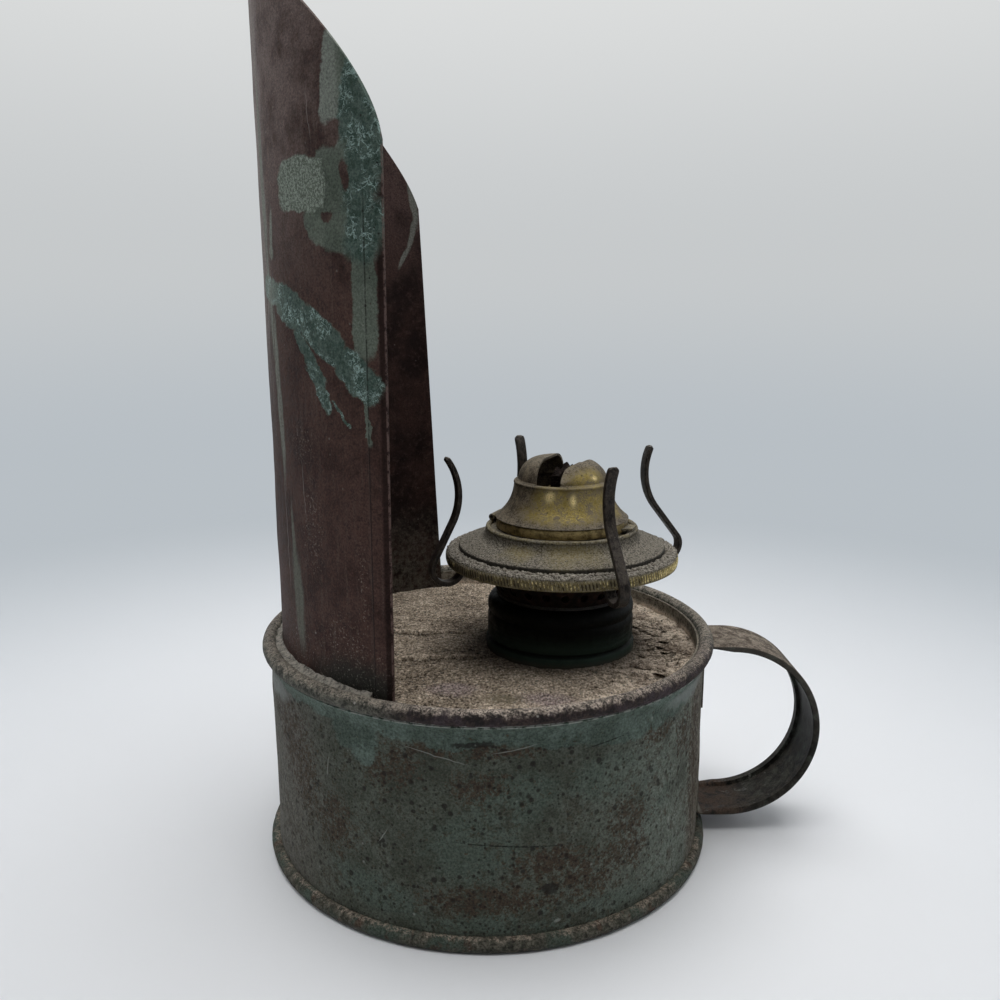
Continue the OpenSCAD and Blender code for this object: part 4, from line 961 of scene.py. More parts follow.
collar_outline += [(bore_r, thread_foot - 0.1), (bore_r, plate_z - 0.9), (bore_r + 0.7, plate_z - 0.9),
                   (bore_r + 0.7, plate_z - 0.4)]
collar_rows = turned(collar_outline, 300, burner_x)
collar_rows = push_out(collar_rows, 0.035 * lumps(collar_rows, 2.5, 71, 2) * fade(collar_rows[..., 2], plate_z, plate_z + 1.0),
                       burner_x)
piece("threaded_collar", [skin(collar_rows)], "lamp", black_green(), ["collar"])

# Gallery of the burner: spun brass sheet, from its knurled rim over the flat seat for the chimney and the
# stepped cove to the neck. The brass shows at the rim and the neck; the rest is under grey grit.
gallery_low, gallery_high = span("gallery")
gallery_r = (gallery_high[0] - gallery_low[0]) / 2.0
gallery_wall = 0.45
skirt_z = gallery_low[2]
seat_z = skirt_z + 2.2
rim_roll = 0.95
ridge_r, ridge_z = 19.0, seat_z + 0.6
cove_r, cove_c, cove_z = 1.9, 15.95, seat_z + 3.75
slope = 15.6
neck_c, neck_z, neck_bead = 13.6, seat_z + 4.0, 0.45
ledge_r = 11.4
slot_az, hinge_az = 67.0, 157.0


def grimy_brass():
    """Aged brass under grey-brown grit, rubbed yellow on its edges and at the front of its cove; grit facing up is
    painted lighter, and the step beside the ridge and the undersides are painted dark as shade.
    """
    material, n, shader, place = coat("grimy_brass", 0.3)
    wall = n.use("round the wall", {"Place": place, "Axis": burner_x, "Radius": 16.0})
    flat = n.vector("MULTIPLY", n.vector("SUBTRACT", place, (burner_x, 0.0, 0.0)), (1.0, 1.0, 0.0))
    away = n.add("ShaderNodeVectorMath", {0: flat}, out=1, operation="LENGTH")
    upward = n.split(n.add("ShaderNodeTexCoord", out=1), 2)
    height_mm = n.split(place, 2)
    mottle = n.noise(place, 1.5, 5.0, 0.7)
    grit = n.noise(place, 0.34, 4.0, 0.78)
    olive = patches(n, ragged(n, wall, 2.5, 2.0), [(1.0, 57.3, 5.0, 1.4, 0), (-9.0, 57.0, 3.0, 0.8, 0)], 0.7)
    neck = n.both(n.rise(height_mm, neck_z - 0.5, neck_z + 0.2), n.rise(mottle, 0.35, 0.6))
    rim_side = n.both(n.rise(away, gallery_r - 0.35, gallery_r - 0.1), n.rise(height_mm, seat_z - 0.1, seat_z - 0.7))
    brass = n.mix(mottle, (0.18, 0.145, 0.052), (0.38, 0.305, 0.12))
    grime_and_painted_light = n.mix(n.rise(grit, 0.38, 0.62), (0.036, 0.031, 0.024), (0.195, 0.176, 0.140))
    # Painted light: grit facing up is made paler.
    lit = n.both(n.rise(upward, 0.3, 0.95), n.rise(grit, 0.42, 0.58))
    grime_and_painted_light = n.mix(n.both(lit, 0.5), grime_and_painted_light, (0.28, 0.255, 0.21))
    seat = n.both(n.rise(away, ridge_r - 0.2, ridge_r + 0.4), n.rise(upward, 0.4, 0.8))
    grime_and_painted_light = n.mix(n.both(seat, 0.7), grime_and_painted_light, n.mix(n.rise(grit, 0.4, 0.6), (0.045, 0.038, 0.030), (0.38, 0.35, 0.30)))
    # Painted shadow in the step between the ridge and the cove.
    step = n.both(n.rise(away, ridge_r + 0.55, ridge_r + 0.2), n.rise(away, ridge_r - 0.35, ridge_r - 0.1),
                  n.rise(upward, 0.85, 0.4))
    grime_and_painted_light = n.mix(n.both(step, 0.85), grime_and_painted_light, (0.018, 0.016, 0.012))
    bare = n.most(n.both(olive, 0.5), n.both(neck, 0.4), n.both(rim_side, 0.5))
    bare = n.both(bare, n.rise(grit, 0.72, 0.45))
    # Painted shade: faces that look down go near black.
    under = n.rise(upward, -0.2, -0.6)
    colour = n.mix(n.both(bare, 1.0), grime_and_painted_light, brass)
    colour = n.mix(under, colour, (0.012, 0.008, 0.006))
    pits = n.use("flecks", {"Place": place, "Cell": 0.6, "Share": 0.45, "Spread": 0.22})
    colour = n.mix(n.both(pits, 0.65), colour, (0.020, 0.017, 0.012))
    n.put(shader["Base Color"], colour)
    n.put(shader["Metallic"], n.both(bare, 0.6))
    n.put(shader["Roughness"], n.rise(bare, 0.0, 1.0, 0.88, 0.42))
    relief(n, shader, n.maths("ADD", n.both(mottle, 0.6), grit), 0.28)
    return material


def rod(start, end, radius, steps=20):
    """Short round bar between two points, its ends closed flat."""
    start, end = np.array(start, float), np.array(end, float)
    axis = (end - start) / np.linalg.norm(end - start)
    side = np.cross(axis, (0.0, 0.0, 1.0) if abs(axis[2]) < 0.9 else (1.0, 0.0, 0.0))
    side /= np.linalg.norm(side)
    other = np.cross(axis, side)
    turn = np.linspace(0.0, 2.0 * math.pi, steps, endpoint=False)[:, None]
    ring = np.cos(turn) * side + np.sin(turn) * other
    stops = [(start, 0.9), (start + axis * 0.1 * radius, 1.0), (end - axis * 0.1 * radius, 1.0), (end, 0.9)]
    return np.array([centre + ring * radius * share for centre, share in stops])


def at_burner(points, azimuth):
    """Points given round the burner's axis, with X along an azimuth, moved to their place."""
    points = np.array(points, float)
    a = math.radians(azimuth)
    x = burner_x + points[..., 0] * math.cos(a) - points[..., 1] * math.sin(a)
    y = points[..., 0] * math.sin(a) + points[..., 1] * math.cos(a)
    return np.stack([x, y, points[..., 2]], axis=-1)


roll_c = gallery_r - rim_roll
gallery_outline = [(gallery_r, skirt_z), (gallery_r, seat_z - 1.3)]
gallery_outline += arc(roll_c, seat_z - rim_roll, rim_roll, 0.0, 90.0, 8)
gallery_outline += straight((roll_c - 0.3, seat_z), (ridge_r + 0.1, seat_z), 0.3)
gallery_outline += [(ridge_r + 0.02, seat_z + 0.12)] + arc(ridge_r - gallery_wall, ridge_z, gallery_wall, 0.0,
                                                           90.0 - slope, 6)
cove_foot = arc(cove_c, cove_z, cove_r, 270.0 - slope, 180.0, 14)
gallery_outline += straight((ridge_r - 0.6, ridge_z + 0.52), cove_foot[0], 0.35) + cove_foot
gallery_outline += [(cove_c - cove_r, neck_z - 0.25)] + arc(neck_c, neck_z, neck_bead, -35.0, 200.0, 12)
gallery_outline += [(ledge_r, neck_z), (ledge_r, neck_z - gallery_wall), (cove_c - cove_r - gallery_wall, neck_z - 0.5)]
gallery_outline += arc(cove_c, cove_z, cove_r + gallery_wall, 180.0, 270.0 - slope, 8)
gallery_outline += [(ridge_r - gallery_wall, ridge_z), (ridge_r - gallery_wall, seat_z - gallery_wall)]
gallery_outline += arc(roll_c, seat_z - rim_roll, rim_roll - gallery_wall, 90.0, 0.0, 4)
gallery_outline += [(gallery_r - gallery_wall, skirt_z)]
gallery_rows = turned(gallery_outline, 420, burner_x)
crust = 0.10 * np.abs(lumps(gallery_rows, 1.6, 81, 3)) * fade(gallery_rows[..., 2], seat_z - 0.3, seat_z + 0.1)
from_axis = np.hypot(gallery_rows[..., 0] - burner_x, gallery_rows[..., 1])
round_axis = np.arctan2(gallery_rows[..., 1], gallery_rows[..., 0] - burner_x)
crimp_count, crimp_slant, crimp_h = 58, 1.4, 0.5
crimps = 0.5 + 0.5 * np.sin(crimp_count * round_axis + crimp_slant * from_axis + 1.6 * lumps(gallery_rows, 5.0, 82))
crimps *= (0.6 + 0.4 * lumps(gallery_rows, 3.0, 83)) * fade(from_axis, ridge_r + 0.5, ridge_r + 1.1)
crust += crimp_h * crimps * fade(gallery_rows[..., 2], seat_z - 0.5, seat_z - 0.05)
gallery_rows[..., 2] += crust * (np.arange(len(gallery_rows)) < len(gallery_rows) * 0.72)[:, None]
knuckle_r, hinge_r, hinge_z = 0.6, 13.1, span("hinge_pin")[0][2] + 0.3
gallery_skins = [skin(gallery_rows)]
for side in (-1.0, 1.0):
    ends = [(hinge_r, side * 1.15, hinge_z), (hinge_r, side * 2.35, hinge_z)]
    gallery_skins.append(skin(rod(*at_burner(ends, hinge_az), knuckle_r), "flat"))
    ends = [(hinge_r, side * 1.75, neck_z), (hinge_r, side * 1.75, hinge_z)]
    gallery_skins.append(skin(rod(*at_burner(ends, hinge_az), 0.35), "flat"))
grime_and_painted_light = grimy_brass()
piece("gallery_sheet", gallery_skins, "burner", grime_and_painted_light, ["gallery"])

# Knurling: fine slanting ribs rolled into the gallery's rim, so that fingers can grip it to unscrew the burner.


def flow(name, inputs):
    """New geometry node tree with named inputs; returns its node placer and its group input's outputs."""
    tree = bpy.data.node_groups.new(name, "GeometryNodeTree")
    tree.interface.new_socket(name="Geometry", in_out="INPUT", socket_type="NodeSocketGeometry")
    for socket, (kind, _) in inputs.items():
        tree.interface.new_socket(name=socket, in_out="INPUT", socket_type="NodeSocket" + kind)
    tree.interface.new_socket(name="Geometry", in_out="OUTPUT", socket_type="NodeSocketGeometry")
    return Nodes(tree), tree.nodes.new("NodeGroupInput").outputs


def grown(name, tree, inputs, base=None):
    """Plain mesh that a geometry node tree makes from a base mesh, with these values on its inputs."""
    start = bpy.data.objects.new(name, base or bpy.data.meshes.new(name))
    bpy.context.scene.collection.objects.link(start)
    growth = start.modifiers.new("growth", "NODES")
    growth.node_group = tree
    places = {item.name: item.identifier for item in tree.interface.items_tree if item.in_out == "INPUT"}
    for socket, (_, value) in inputs.items():
        growth[places[socket]] = value
    bpy.context.view_layer.update()
    evaluated = start.evaluated_get(bpy.context.evaluated_depsgraph_get())
    mesh = bpy.data.meshes.new_from_object(evaluated)
    bpy.data.objects.remove(start)
    return mesh


def whole_piece(name, mesh, body, smooth=True):
    """Names a finished mesh as a piece of the object and puts it on its body."""
    mesh.name = name
    if smooth:
        mesh.shade_smooth()
    made = bpy.data.objects.new(name, mesh)
    bpy.context.scene.collection.objects.link(made)
    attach(made, body)
    return made


def rubbed_brass():
    """Knurled brass: dark brown dirt on and between its ribs, rubbed to bright gold here and there, with painted glints
    on the rubbed parts.
    """
    material, n, shader, place = coat("rubbed_knurl_brass", 0.3)
    wall = n.use("round the wall", {"Place": place, "Axis": burner_x, "Radius": gallery_r})
    mottle = n.noise(place, 1.3, 4.0, 0.6)
    along = n.split(wall, 0)
    wear = n.maths("ADD", mottle, n.rise(along, 8.0, 22.0, 0.0, 0.24))
    wear = n.maths("ADD", wear, n.rise(along, -2.0, -18.0, 0.0, -0.10))
    gold = n.rise(wear, 0.44, 0.76)
    # Painted glints: near-white gold specks on the rubbed parts.
    painted_glint = n.rise(n.noise(place, 0.30, 3.0, 0.7), 0.47, 0.58)
    colour = n.mix(mottle, (0.020, 0.015, 0.009), (0.080, 0.062, 0.034))
    colour = n.mix(gold, colour, (0.46, 0.37, 0.15))
    colour = n.mix(n.both(painted_glint, gold), colour, (0.95, 0.80, 0.42))
    top = n.rise(n.maths("ADD", n.split(wall, 1), n.both(mottle, 0.8)), seat_z - 0.35, seat_z + 0.1)
    colour = n.mix(n.both(top, 0.8), colour, (0.20, 0.185, 0.155))
    n.put(shader["Base Color"], colour)
    n.put(shader["Metallic"], n.both(gold, 0.85))
    n.put(shader["Roughness"], n.rise(gold, 0.0, 1.0, 0.75, 0.33))
    relief(n, shader, n.noise(place, 0.2, 3.0), 0.05)
    return material


knurl_inputs = {"Ribs": ("Int", 212), "Radius": ("Float", (gallery_r - 0.02) / MM), "Height": ("Float", 1.65 / MM),
                "Thickness": ("Float", 0.34 / MM), "Slant": ("Float", math.radians(12.0)),
                "Middle": ("Float", (skirt_z + 0.95) / MM)}
knurl_brass = rubbed_brass()
g, given = flow("rolled knurl", knurl_inputs)
ring = g.add("GeometryNodeMeshCircle", {"Vertices": given["Ribs"], "Radius": given["Radius"]})
lift = g.add("ShaderNodeCombineXYZ", {0: burner_x / MM, 2: given["Middle"]})
rib_size = g.add("ShaderNodeCombineXYZ", {0: given["Thickness"], 1: given["Thickness"], 2: given["Height"]})
rib = g.add("GeometryNodeMeshUVSphere", {"Segments": 8, "Rings": 6, "Radius": 0.5})
rib = g.add("GeometryNodeTransform", {"Geometry": rib, "Scale": rib_size})
place_on_ring = g.add("GeometryNodeInputPosition")
aim = g.add("ShaderNodeMath", {0: g.split(place_on_ring, 1), 1: g.split(place_on_ring, 0)}, operation="ARCTAN2")
turn = g.add("ShaderNodeCombineXYZ", {0: given["Slant"], 2: aim})
ribs = g.add("GeometryNodeInstanceOnPoints", {"Points": ring, "Instance": rib, "Rotation": turn})
ribs = g.add("GeometryNodeRealizeInstances", {0: ribs})
ribs = g.add("GeometryNodeTransform", {"Geometry": ribs, "Translation": lift})
ribs = g.add("GeometryNodeSetMaterial", {"Geometry": ribs, "Material": knurl_brass})
g.tree.links.new(ribs, g.tree.nodes.new("NodeGroupOutput").inputs[0])
whole_piece("gallery_knurl", grown("gallery_knurl", g.tree, knurl_inputs), "burner")

# Burner's inner works: threaded shell, air basket, air plate, wick tube, bearing, prong ring and hinge pin.
# Plain brass and steel, dirty but sheltered, so that their CAD shapes are kept.


def inner_brass():
    """Sheltered brass, brown with old oil and dust, near black round the basket's top, partly soot and partly painted
    shade.
    """
    material, n, shader, place = coat("oily_inner_brass")
    mottle = n.noise(place, 1.4, 5.0, 0.65)
    grit = n.noise(place, 0.3, 4.0, 0.65)
    colour = n.mix(n.rise(mottle, 0.35, 0.65), (0.060, 0.042, 0.022), (0.24, 0.18, 0.080))
    colour = n.mix(n.both(n.rise(grit, 0.5, 0.7), 0.5), colour, (0.11, 0.098, 0.078))
    flat = n.vector("MULTIPLY", n.vector("SUBTRACT", place, (burner_x, 0.0, 0.0)), (1.0, 1.0, 0.0))
    away = n.add("ShaderNodeVectorMath", {0: flat}, out=1, operation="LENGTH")
    # Near black round the top of the basket: soot, and painted shade under the gallery.
    soot_and_shade_top = n.both(n.rise(n.split(place, 2), 45.7, 46.1), n.rise(away, 9.0, 10.5))
    colour = n.mix(n.both(soot_and_shade_top, 0.96), colour, (0.006, 0.004, 0.003))
    n.put(shader["Base Color"], colour)
    n.put(shader["Metallic"], n.both(mottle, n.rise(soot_and_shade_top, 1.0, 0.0), 0.8))
    n.put(shader["Roughness"], n.rise(grit, 0.3, 0.7, 0.45, 0.8))
    relief(n, shader, n.maths("ADD", mottle, n.both(grit, 0.5)), 0.08)
    return material


def soot_and_shade_brass():
    """Brass of the air basket, brown-black: partly burnt and sooty, partly painted shade under the gallery."""
    material, n, shader, place = coat("soot_and_shade_brass", 0.1)
    mottle = n.noise(place, 1.6, 5.0, 0.7)
    grit = n.noise(place, 0.4, 3.0, 0.7)
    colour = n.mix(n.rise(mottle, 0.40, 0.64), (0.0035, 0.0028, 0.0022), (0.022, 0.011, 0.008))
    colour = n.mix(n.both(n.rise(grit, 0.62, 0.72), 0.4), colour, (0.045, 0.034, 0.022))
    n.put(shader["Base Color"], colour)
    n.put(shader["Roughness"], n.rise(grit, 0.3, 0.7, 0.6, 0.95))
    relief(n, shader, n.maths("ADD", mottle, n.both(grit, 0.5)), 0.1)
    return material


def dark_steel():
    """Steel gone dark brown, with a soft sheen along it and dust on its upper sides."""
    material, n, shader, place = coat("dark_spring_steel", 0.3)
    upward = n.split(n.add("ShaderNodeTexCoord", out=1), 2)
    mottle = n.noise(place, 0.9, 5.0, 0.68)
    grain = n.noise(n.vector("MULTIPLY", place, (1.0, 1.0, 0.25)), 0.22, 4.0, 0.6)
    colour = n.mix(n.rise(mottle, 0.36, 0.64), (0.008, 0.006, 0.005), (0.044, 0.035, 0.028))
    colour = n.mix(n.both(n.rise(grain, 0.52, 0.72), 0.5), colour, (0.120, 0.100, 0.080))
    dust = n.both(n.rise(upward, 0.35, 0.95), n.rise(mottle, 0.35, 0.6))
    colour = n.mix(n.both(dust, 0.6), colour, (0.13, 0.115, 0.10))
    n.put(shader["Base Color"], colour)
    n.put(shader["Roughness"], n.rise(mottle, 0.3, 0.7, 0.36, 0.66))
    shader["Metallic"].default_value = 0.35
    relief(n, shader, n.maths("ADD", mottle, n.both(grain, 0.6)), 0.1)
    return material


oily_brass = inner_brass()
spring_steel = dark_steel()
dress(oily_brass, "thread_shell", "air_plate", "wick_tube", "shaft_bearing")
dress(soot_and_shade_brass(), "air_basket")
dress(spring_steel, "prong_ring", "hinge_pin", "raiser_shaft")
dress(knurl_brass, "spur_wheel_near", "spur_wheel_far", "thumbwheel")

# Chimney prongs: four flat strips of spring steel. Each is hooked over the neck of the gallery and springs out and
# up, then curls in at its rounded tip. Use has bent them inward by different amounts.
strip_w, strip_t = 2.0, 0.9
hook_c, hook_z, hook_r, foot_rise = 22.3, skirt_z + 0.3, 2.8, 1.0
leg_lean, leg_l, tip_r, tip_angle = math.radians(27.0), 7.8, 11.0, math.radians(38.0)
prong_front_az = -70.0
prong_leans = {"front": -6.0, "right": -12.0, "back": -2.0, "left": 0.0}


def prong_line():
    """Middle line of the strip seen from its side, each point with the direction that the strip runs in there."""
    foot_x = hook_c - hook_r
    line = [(foot_x, hook_z + foot_rise - t, 0.0, -1.0) for t in (0.0, 0.12, 0.3, 0.6)]
    for a in np.linspace(-math.pi, leg_lean, 30):
        line.append((hook_c + hook_r * math.cos(a), hook_z + hook_r * math.sin(a), -math.sin(a), math.cos(a)))
    top_x = hook_c + hook_r * math.cos(leg_lean) - leg_l * math.sin(leg_lean)
    top_z = hook_z + hook_r * math.sin(leg_lean) + leg_l * math.cos(leg_lean)
    tip_x, tip_z = top_x + tip_r * math.cos(leg_lean), top_z + tip_r * math.sin(leg_lean)
    for share in np.linspace(0.12, 1.0, 10):
        line.append((line[33][0] + (top_x - line[33][0]) * share, line[33][1] + (top_z - line[33][1]) * share,
                     -math.sin(leg_lean), math.cos(leg_lean)))
    for a in np.linspace(math.pi + leg_lean, math.pi - tip_angle, 34)[1:]:
        line.append((tip_x + tip_r * math.cos(a), tip_z + tip_r * math.sin(a), math.sin(a), -math.cos(a)))
    return np.array(line)


def prong_rows(azimuth, lean):
    """Loops of points round the strip from its foot to its tip; both ends are narrowed to rounded tongues."""
    line = prong_line()
    run = np.concatenate([[0.0], np.cumsum(np.hypot(np.diff(line[:, 0]), np.diff(line[:, 1])))])
    half, edge = strip_w / 2.0, 0.22
    corners = [(half - edge + edge * math.cos(a), strip_t / 2.0 - edge + edge * math.sin(a))
               for a in np.radians(np.linspace(0.0, 90.0, 5))]
    corners += [(-w, t) for w, t in corners[::-1]]
    corners += [(w, -t) for w, t in corners[::-1]]
    rows = []
    for (x, z, dx, dz), way in zip(line, run):
        to_end = run[-1] - way
        narrow = math.sqrt(max(0.0, 1.0 - (1.0 - min(to_end, 1.0)) ** 2)) * 0.55 + 0.45
        thin = 0.30 + 0.70 * min(1.0, to_end / 0.22, (way + 0.1) / 0.3)
        worn = 1.0 - 0.035 * abs(float(lumps(np.array([x, azimuth, z]), 1.8, 87)))
        rows.append([(x - dz * t * thin, w * narrow * worn, z + dx * t * thin) for w, t in corners])
    rows = np.array(rows)
    foot_x, a = hook_c - hook_r, math.radians(lean)
    x, z = rows[..., 0] - foot_x, rows[..., 2] - hook_z
    rows[..., 0] = foot_x + x * math.cos(a) + z * math.sin(a)
    rows[..., 2] = hook_z - x * math.sin(a) + z * math.cos(a)
    return at_burner(rows, azimuth)


for step, (side, lean) in enumerate(prong_leans.items()):
    strip = skin(prong_rows(prong_front_az + 90.0 * step, lean), "flat")
    piece(f"prong_{side}_strip", [strip], f"prong_{side}", spring_steel, [f"prong_{side}"])

# Cone: the brass flame deflector, pressed in one piece from a plain band through a concave flare to a dome that
# is cut by the flame slot. The half dome by the lift tab has been knocked down a little along the slot.
cone_low, cone_high = span("cone")
cone_z = cone_low[2]
cone_wall = 0.4
cone_band_r, cone_band_h = 12.1, 1.7
flare_centre, flare_centre_z, flare_sweep = 17.15, cone_z + 8.5, 8.3
bead_r, bead_z = 0.3, cone_z + 8.2
dome_r, dome_c, dome_z = 4.25, 3.9, cone_z + 8.5
slot_w, slot_z = 4.6, cone_z + 8.5


def aged_cone_brass():
    """Brass still yellow-olive at the front and round the slot, dull brown and dusty toward its back and foot, with
    small painted highlights at the front and painted light on upward grit.
    """
    material, n, shader, place = coat("aged_cone_brass", 0.3)
    wall = n.use("round the wall", {"Place": place, "Axis": burner_x, "Radius": 10.0})
    upward = n.split(n.add("ShaderNodeTexCoord", out=1), 2)
    up = n.split(place, 2)
    mottle = n.noise(place, 1.6, 5.0, 0.72)
    grit = n.noise(place, 0.30, 4.0, 0.75)
    from_front = n.maths("ABSOLUTE", n.split(wall, 0))
    yellow = patches(n, ragged(n, wall, 2.6, 2.4), [
        (-2.5, 65.4, 4.0, 1.9, 0), (3.5, 65.0, 6.0, 2.2, 0), (-0.5, 63.0, 7.0, 1.5, 0), (5.4, 68.7, 4.6, 1.6, 0),
        (10.0, 63.6, 3.0, 1.6, 0)], 0.55)
    yellow = n.both(yellow, n.rise(n.maths("ADD", mottle, n.both(grit, 0.8)), 1.06, 0.78), 0.9)
    # Small near-white gold spots: rubbed brass with a painted highlight on it.
    gold = patches(n, ragged(n, wall, 2.0, 0.8), [(-3.2, 66.0, 1.0, 0.9, 20), (7.2, 68.8, 0.8, 0.4, 0),
                                                  (1.4, 65.4, 0.7, 1.0, 0)], 0.8)
    in_band = n.rise(up, cone_z + cone_band_h, cone_z + cone_band_h - 0.2)
    brass = n.mix(n.rise(mottle, 0.3, 0.7), (0.220, 0.165, 0.042), (0.52, 0.41, 0.135))
    brass = n.mix(n.both(gold, n.rise(grit, 0.34, 0.52)), brass, (0.98, 0.80, 0.40))
    band_brass = n.mix(n.rise(mottle, 0.36, 0.64), (0.130, 0.095, 0.040), (0.46, 0.35, 0.15))
    brass = n.mix(in_band, brass, band_brass)
    grime_and_painted_light = n.mix(n.rise(n.maths("ADD", n.both(mottle, 0.5), n.both(grit, 0.5)), 0.42, 0.58),
                  (0.040, 0.030, 0.020), (0.150, 0.122, 0.082))
    # Painted light: grit facing up is made paler.
    lit = n.both(n.rise(upward, 0.45, 0.95), n.rise(grit, 0.44, 0.58))
    grime_and_painted_light = n.mix(n.both(lit, 0.5), grime_and_painted_light, (0.20, 0.178, 0.138))
    bare = n.most(yellow, n.both(in_band, n.rise(from_front, 18.0, 12.0), 0.9))
    bare = n.most(bare, n.both(gold, 0.9))
    pits = n.use("flecks", {"Place": place, "Cell": 0.85, "Share": 0.4, "Spread": 0.17})
    pits = n.most(pits, n.both(n.use("flecks", {"Place": place, "Cell": 0.45, "Share": 0.4, "Spread": 0.22}), 0.7))
    colour = n.mix(bare, grime_and_painted_light, brass)
    colour = n.mix(n.both(pits, 0.7), colour, (0.028, 0.022, 0.014))
    n.put(shader["Base Color"], colour)
    n.put(shader["Metallic"], n.both(bare, 0.7))
    n.put(shader["Roughness"], n.rise(bare, 0.0, 1.0, 0.8, 0.38))
    height = n.maths("ADD", n.both(mottle, 0.5), n.both(grit, 0.6))
    relief(n, shader, height, 0.18)
    return material


foot_angle = 180.0 + math.degrees(math.asin((flare_centre_z - cone_z - cone_band_h - 0.1) / flare_sweep))
top_angle = 180.0 + math.degrees(math.asin((flare_centre_z - bead_z) / flare_sweep))
cone_outline = [(cone_band_r, cone_z), (cone_band_r + 0.03, cone_z + 0.12), (cone_band_r, cone_z + cone_band_h - 0.25),
                (cone_band_r - 0.2, cone_z + cone_band_h), (cone_band_r - 0.35, cone_z + cone_band_h + 0.1)]
cone_outline += arc(flare_centre, flare_centre_z, flare_sweep, foot_angle, top_angle, 26)
cone_outline += arc(flare_centre - flare_sweep - 0.2, bead_z, bead_r, -40.0, 110.0, 8)
cone_outline += arc(dome_c, dome_z, dome_r, 4.0, 90.0, 16)
cone_outline += straight((dome_c - 0.5, dome_z + dome_r), (0.0, dome_z + dome_r), 0.6) + [(0.0, dome_z + dome_r)]
cone_outline += [(0.0, dome_z + dome_r - cone_wall)] + arc(dome_c, dome_z, dome_r - cone_wall, 90.0, 0.0, 10)
cone_outline += arc(flare_centre, flare_centre_z, flare_sweep + cone_wall, top_angle, foot_angle, 14)
cone_outline += [(cone_band_r - cone_wall, cone_z + cone_band_h - 0.3), (cone_band_r - cone_wall, cone_z)]
cone_rows = turned(cone_outline, 300, burner_x)
cone_solid = bpy.data.objects.new("cone_blank", skin(cone_rows))
slot_corners = [(-20.0, -slot_w / 2), (20.0, -slot_w / 2), (20.0, slot_w / 2), (-20.0, slot_w / 2)]
slot_box = np.array([[(x, y, z) for x, y in slot_corners] for z in (slot_z, slot_z + 9.0)])
slot_tool = bpy.data.objects.new("slot_tool", skin(at_burner(slot_box, slot_az), "flat"))
for blank in (cone_solid, slot_tool):
    bpy.context.scene.collection.objects.link(blank)
cut = cone_solid.modifiers.new("slot", "BOOLEAN")
cut.operation, cut.solver, cut.object = "DIFFERENCE", "EXACT", slot_tool
bpy.context.view_layer.update()
cone_mesh = bpy.data.meshes.new_from_object(cone_solid.evaluated_get(bpy.context.evaluated_depsgraph_get()))
for blank in (cone_solid, slot_tool):
    bpy.data.objects.remove(blank)
points = np.array([v.co for v in cone_mesh.vertices]) * MM
toward_tab = (points[:, 0] - burner_x) * math.cos(math.radians(hinge_az + 180.0)) \
    + points[:, 1] * math.sin(math.radians(hinge_az + 180.0))
high = fade(points[:, 2], dome_z, dome_z + 3.2)
knocked = fade(toward_tab, 1.0, 2.0) * high * (0.45 + 0.95 * fade(toward_tab, 4.6, 2.3))
points[:, 2] -= knocked
points[:, :2] -= 0.25 * (high * fade(toward_tab, 3.2, 2.3) * fade(toward_tab, 1.0, 2.0))[:, None] * (
    math.cos(math.radians(hinge_az + 180.0)), math.sin(math.radians(hinge_az + 180.0)))
points += 0.05 * lumps(points, 5.0, 91)[:, None] * (1.0, 1.0, 0.6) * fade(points[:, 2], cone_z + 1.0, cone_z + 4.0)[:, None]
cone_mesh.vertices.foreach_set("co", (points / MM).ravel())
knuckle = skin(rod(*at_burner([(hinge_r, -1.0, hinge_z), (hinge_r, 1.0, hinge_z)], hinge_az), knuckle_r), "flat")
leaf_box = np.array([[(cone_band_r - 0.2, y, hinge_z + z), (hinge_r, y, hinge_z + z)] for y, z in
                     ((-1.0, -0.2), (1.0, -0.2), (1.0, 0.2), (-1.0, 0.2))]).transpose(1, 0, 2)
leaf = skin(at_burner(leaf_box, hinge_az), "flat")
cone_brass = aged_cone_brass()
piece("flame_cone", [cone_mesh, knuckle, leaf], "cone", cone_brass, ["cone"], 35.0)
dress(grime_and_painted_light, "lift_tab")

# Wick: flat woven cotton in its tube, soaked brown below and burnt to black flakes at its top edge.
wick_low, wick_high = span("wick")
wick_w, wick_t = 9.5, 2.0


def charred_cotton():
    """Woven cotton, brown with oil, charred black and crumbling toward the top."""
    material, n, shader, place = coat("charred_cotton", 0.06)
    height_mm = n.split(place, 2)
    weave = n.add("ShaderNodeTexWave", {"Vector": place, "Scale": 1.4, "Distortion": 1.5}, out=1)
    cross = n.add("ShaderNodeTexWave", {"Vector": place, "Scale": 1.1, "Distortion": 1.0}, out=1,
                  bands_direction="Z")
    mottle = n.noise(place, 0.7, 5.0, 0.7)
    char = n.rise(n.maths("ADD", height_mm, n.both(mottle, 3.0)), wick_high[2] - 6.0, wick_high[2] - 1.5)
    colour = n.mix(n.both(weave, cross), (0.085, 0.060, 0.038), (0.26, 0.20, 0.135))
    colour = n.mix(char, colour, n.mix(n.rise(mottle, 0.52, 0.72), (0.008, 0.005, 0.004), (0.060, 0.044, 0.038)))
    n.put(shader["Base Color"], colour)
    n.put(shader["Roughness"], n.rise(mottle, 0.3, 0.7, 0.8, 1.0))
    relief(n, shader, n.maths("ADD", n.both(weave, 0.5), n.maths("ADD", n.both(cross, 0.5), mottle)), 0.2)
    return material


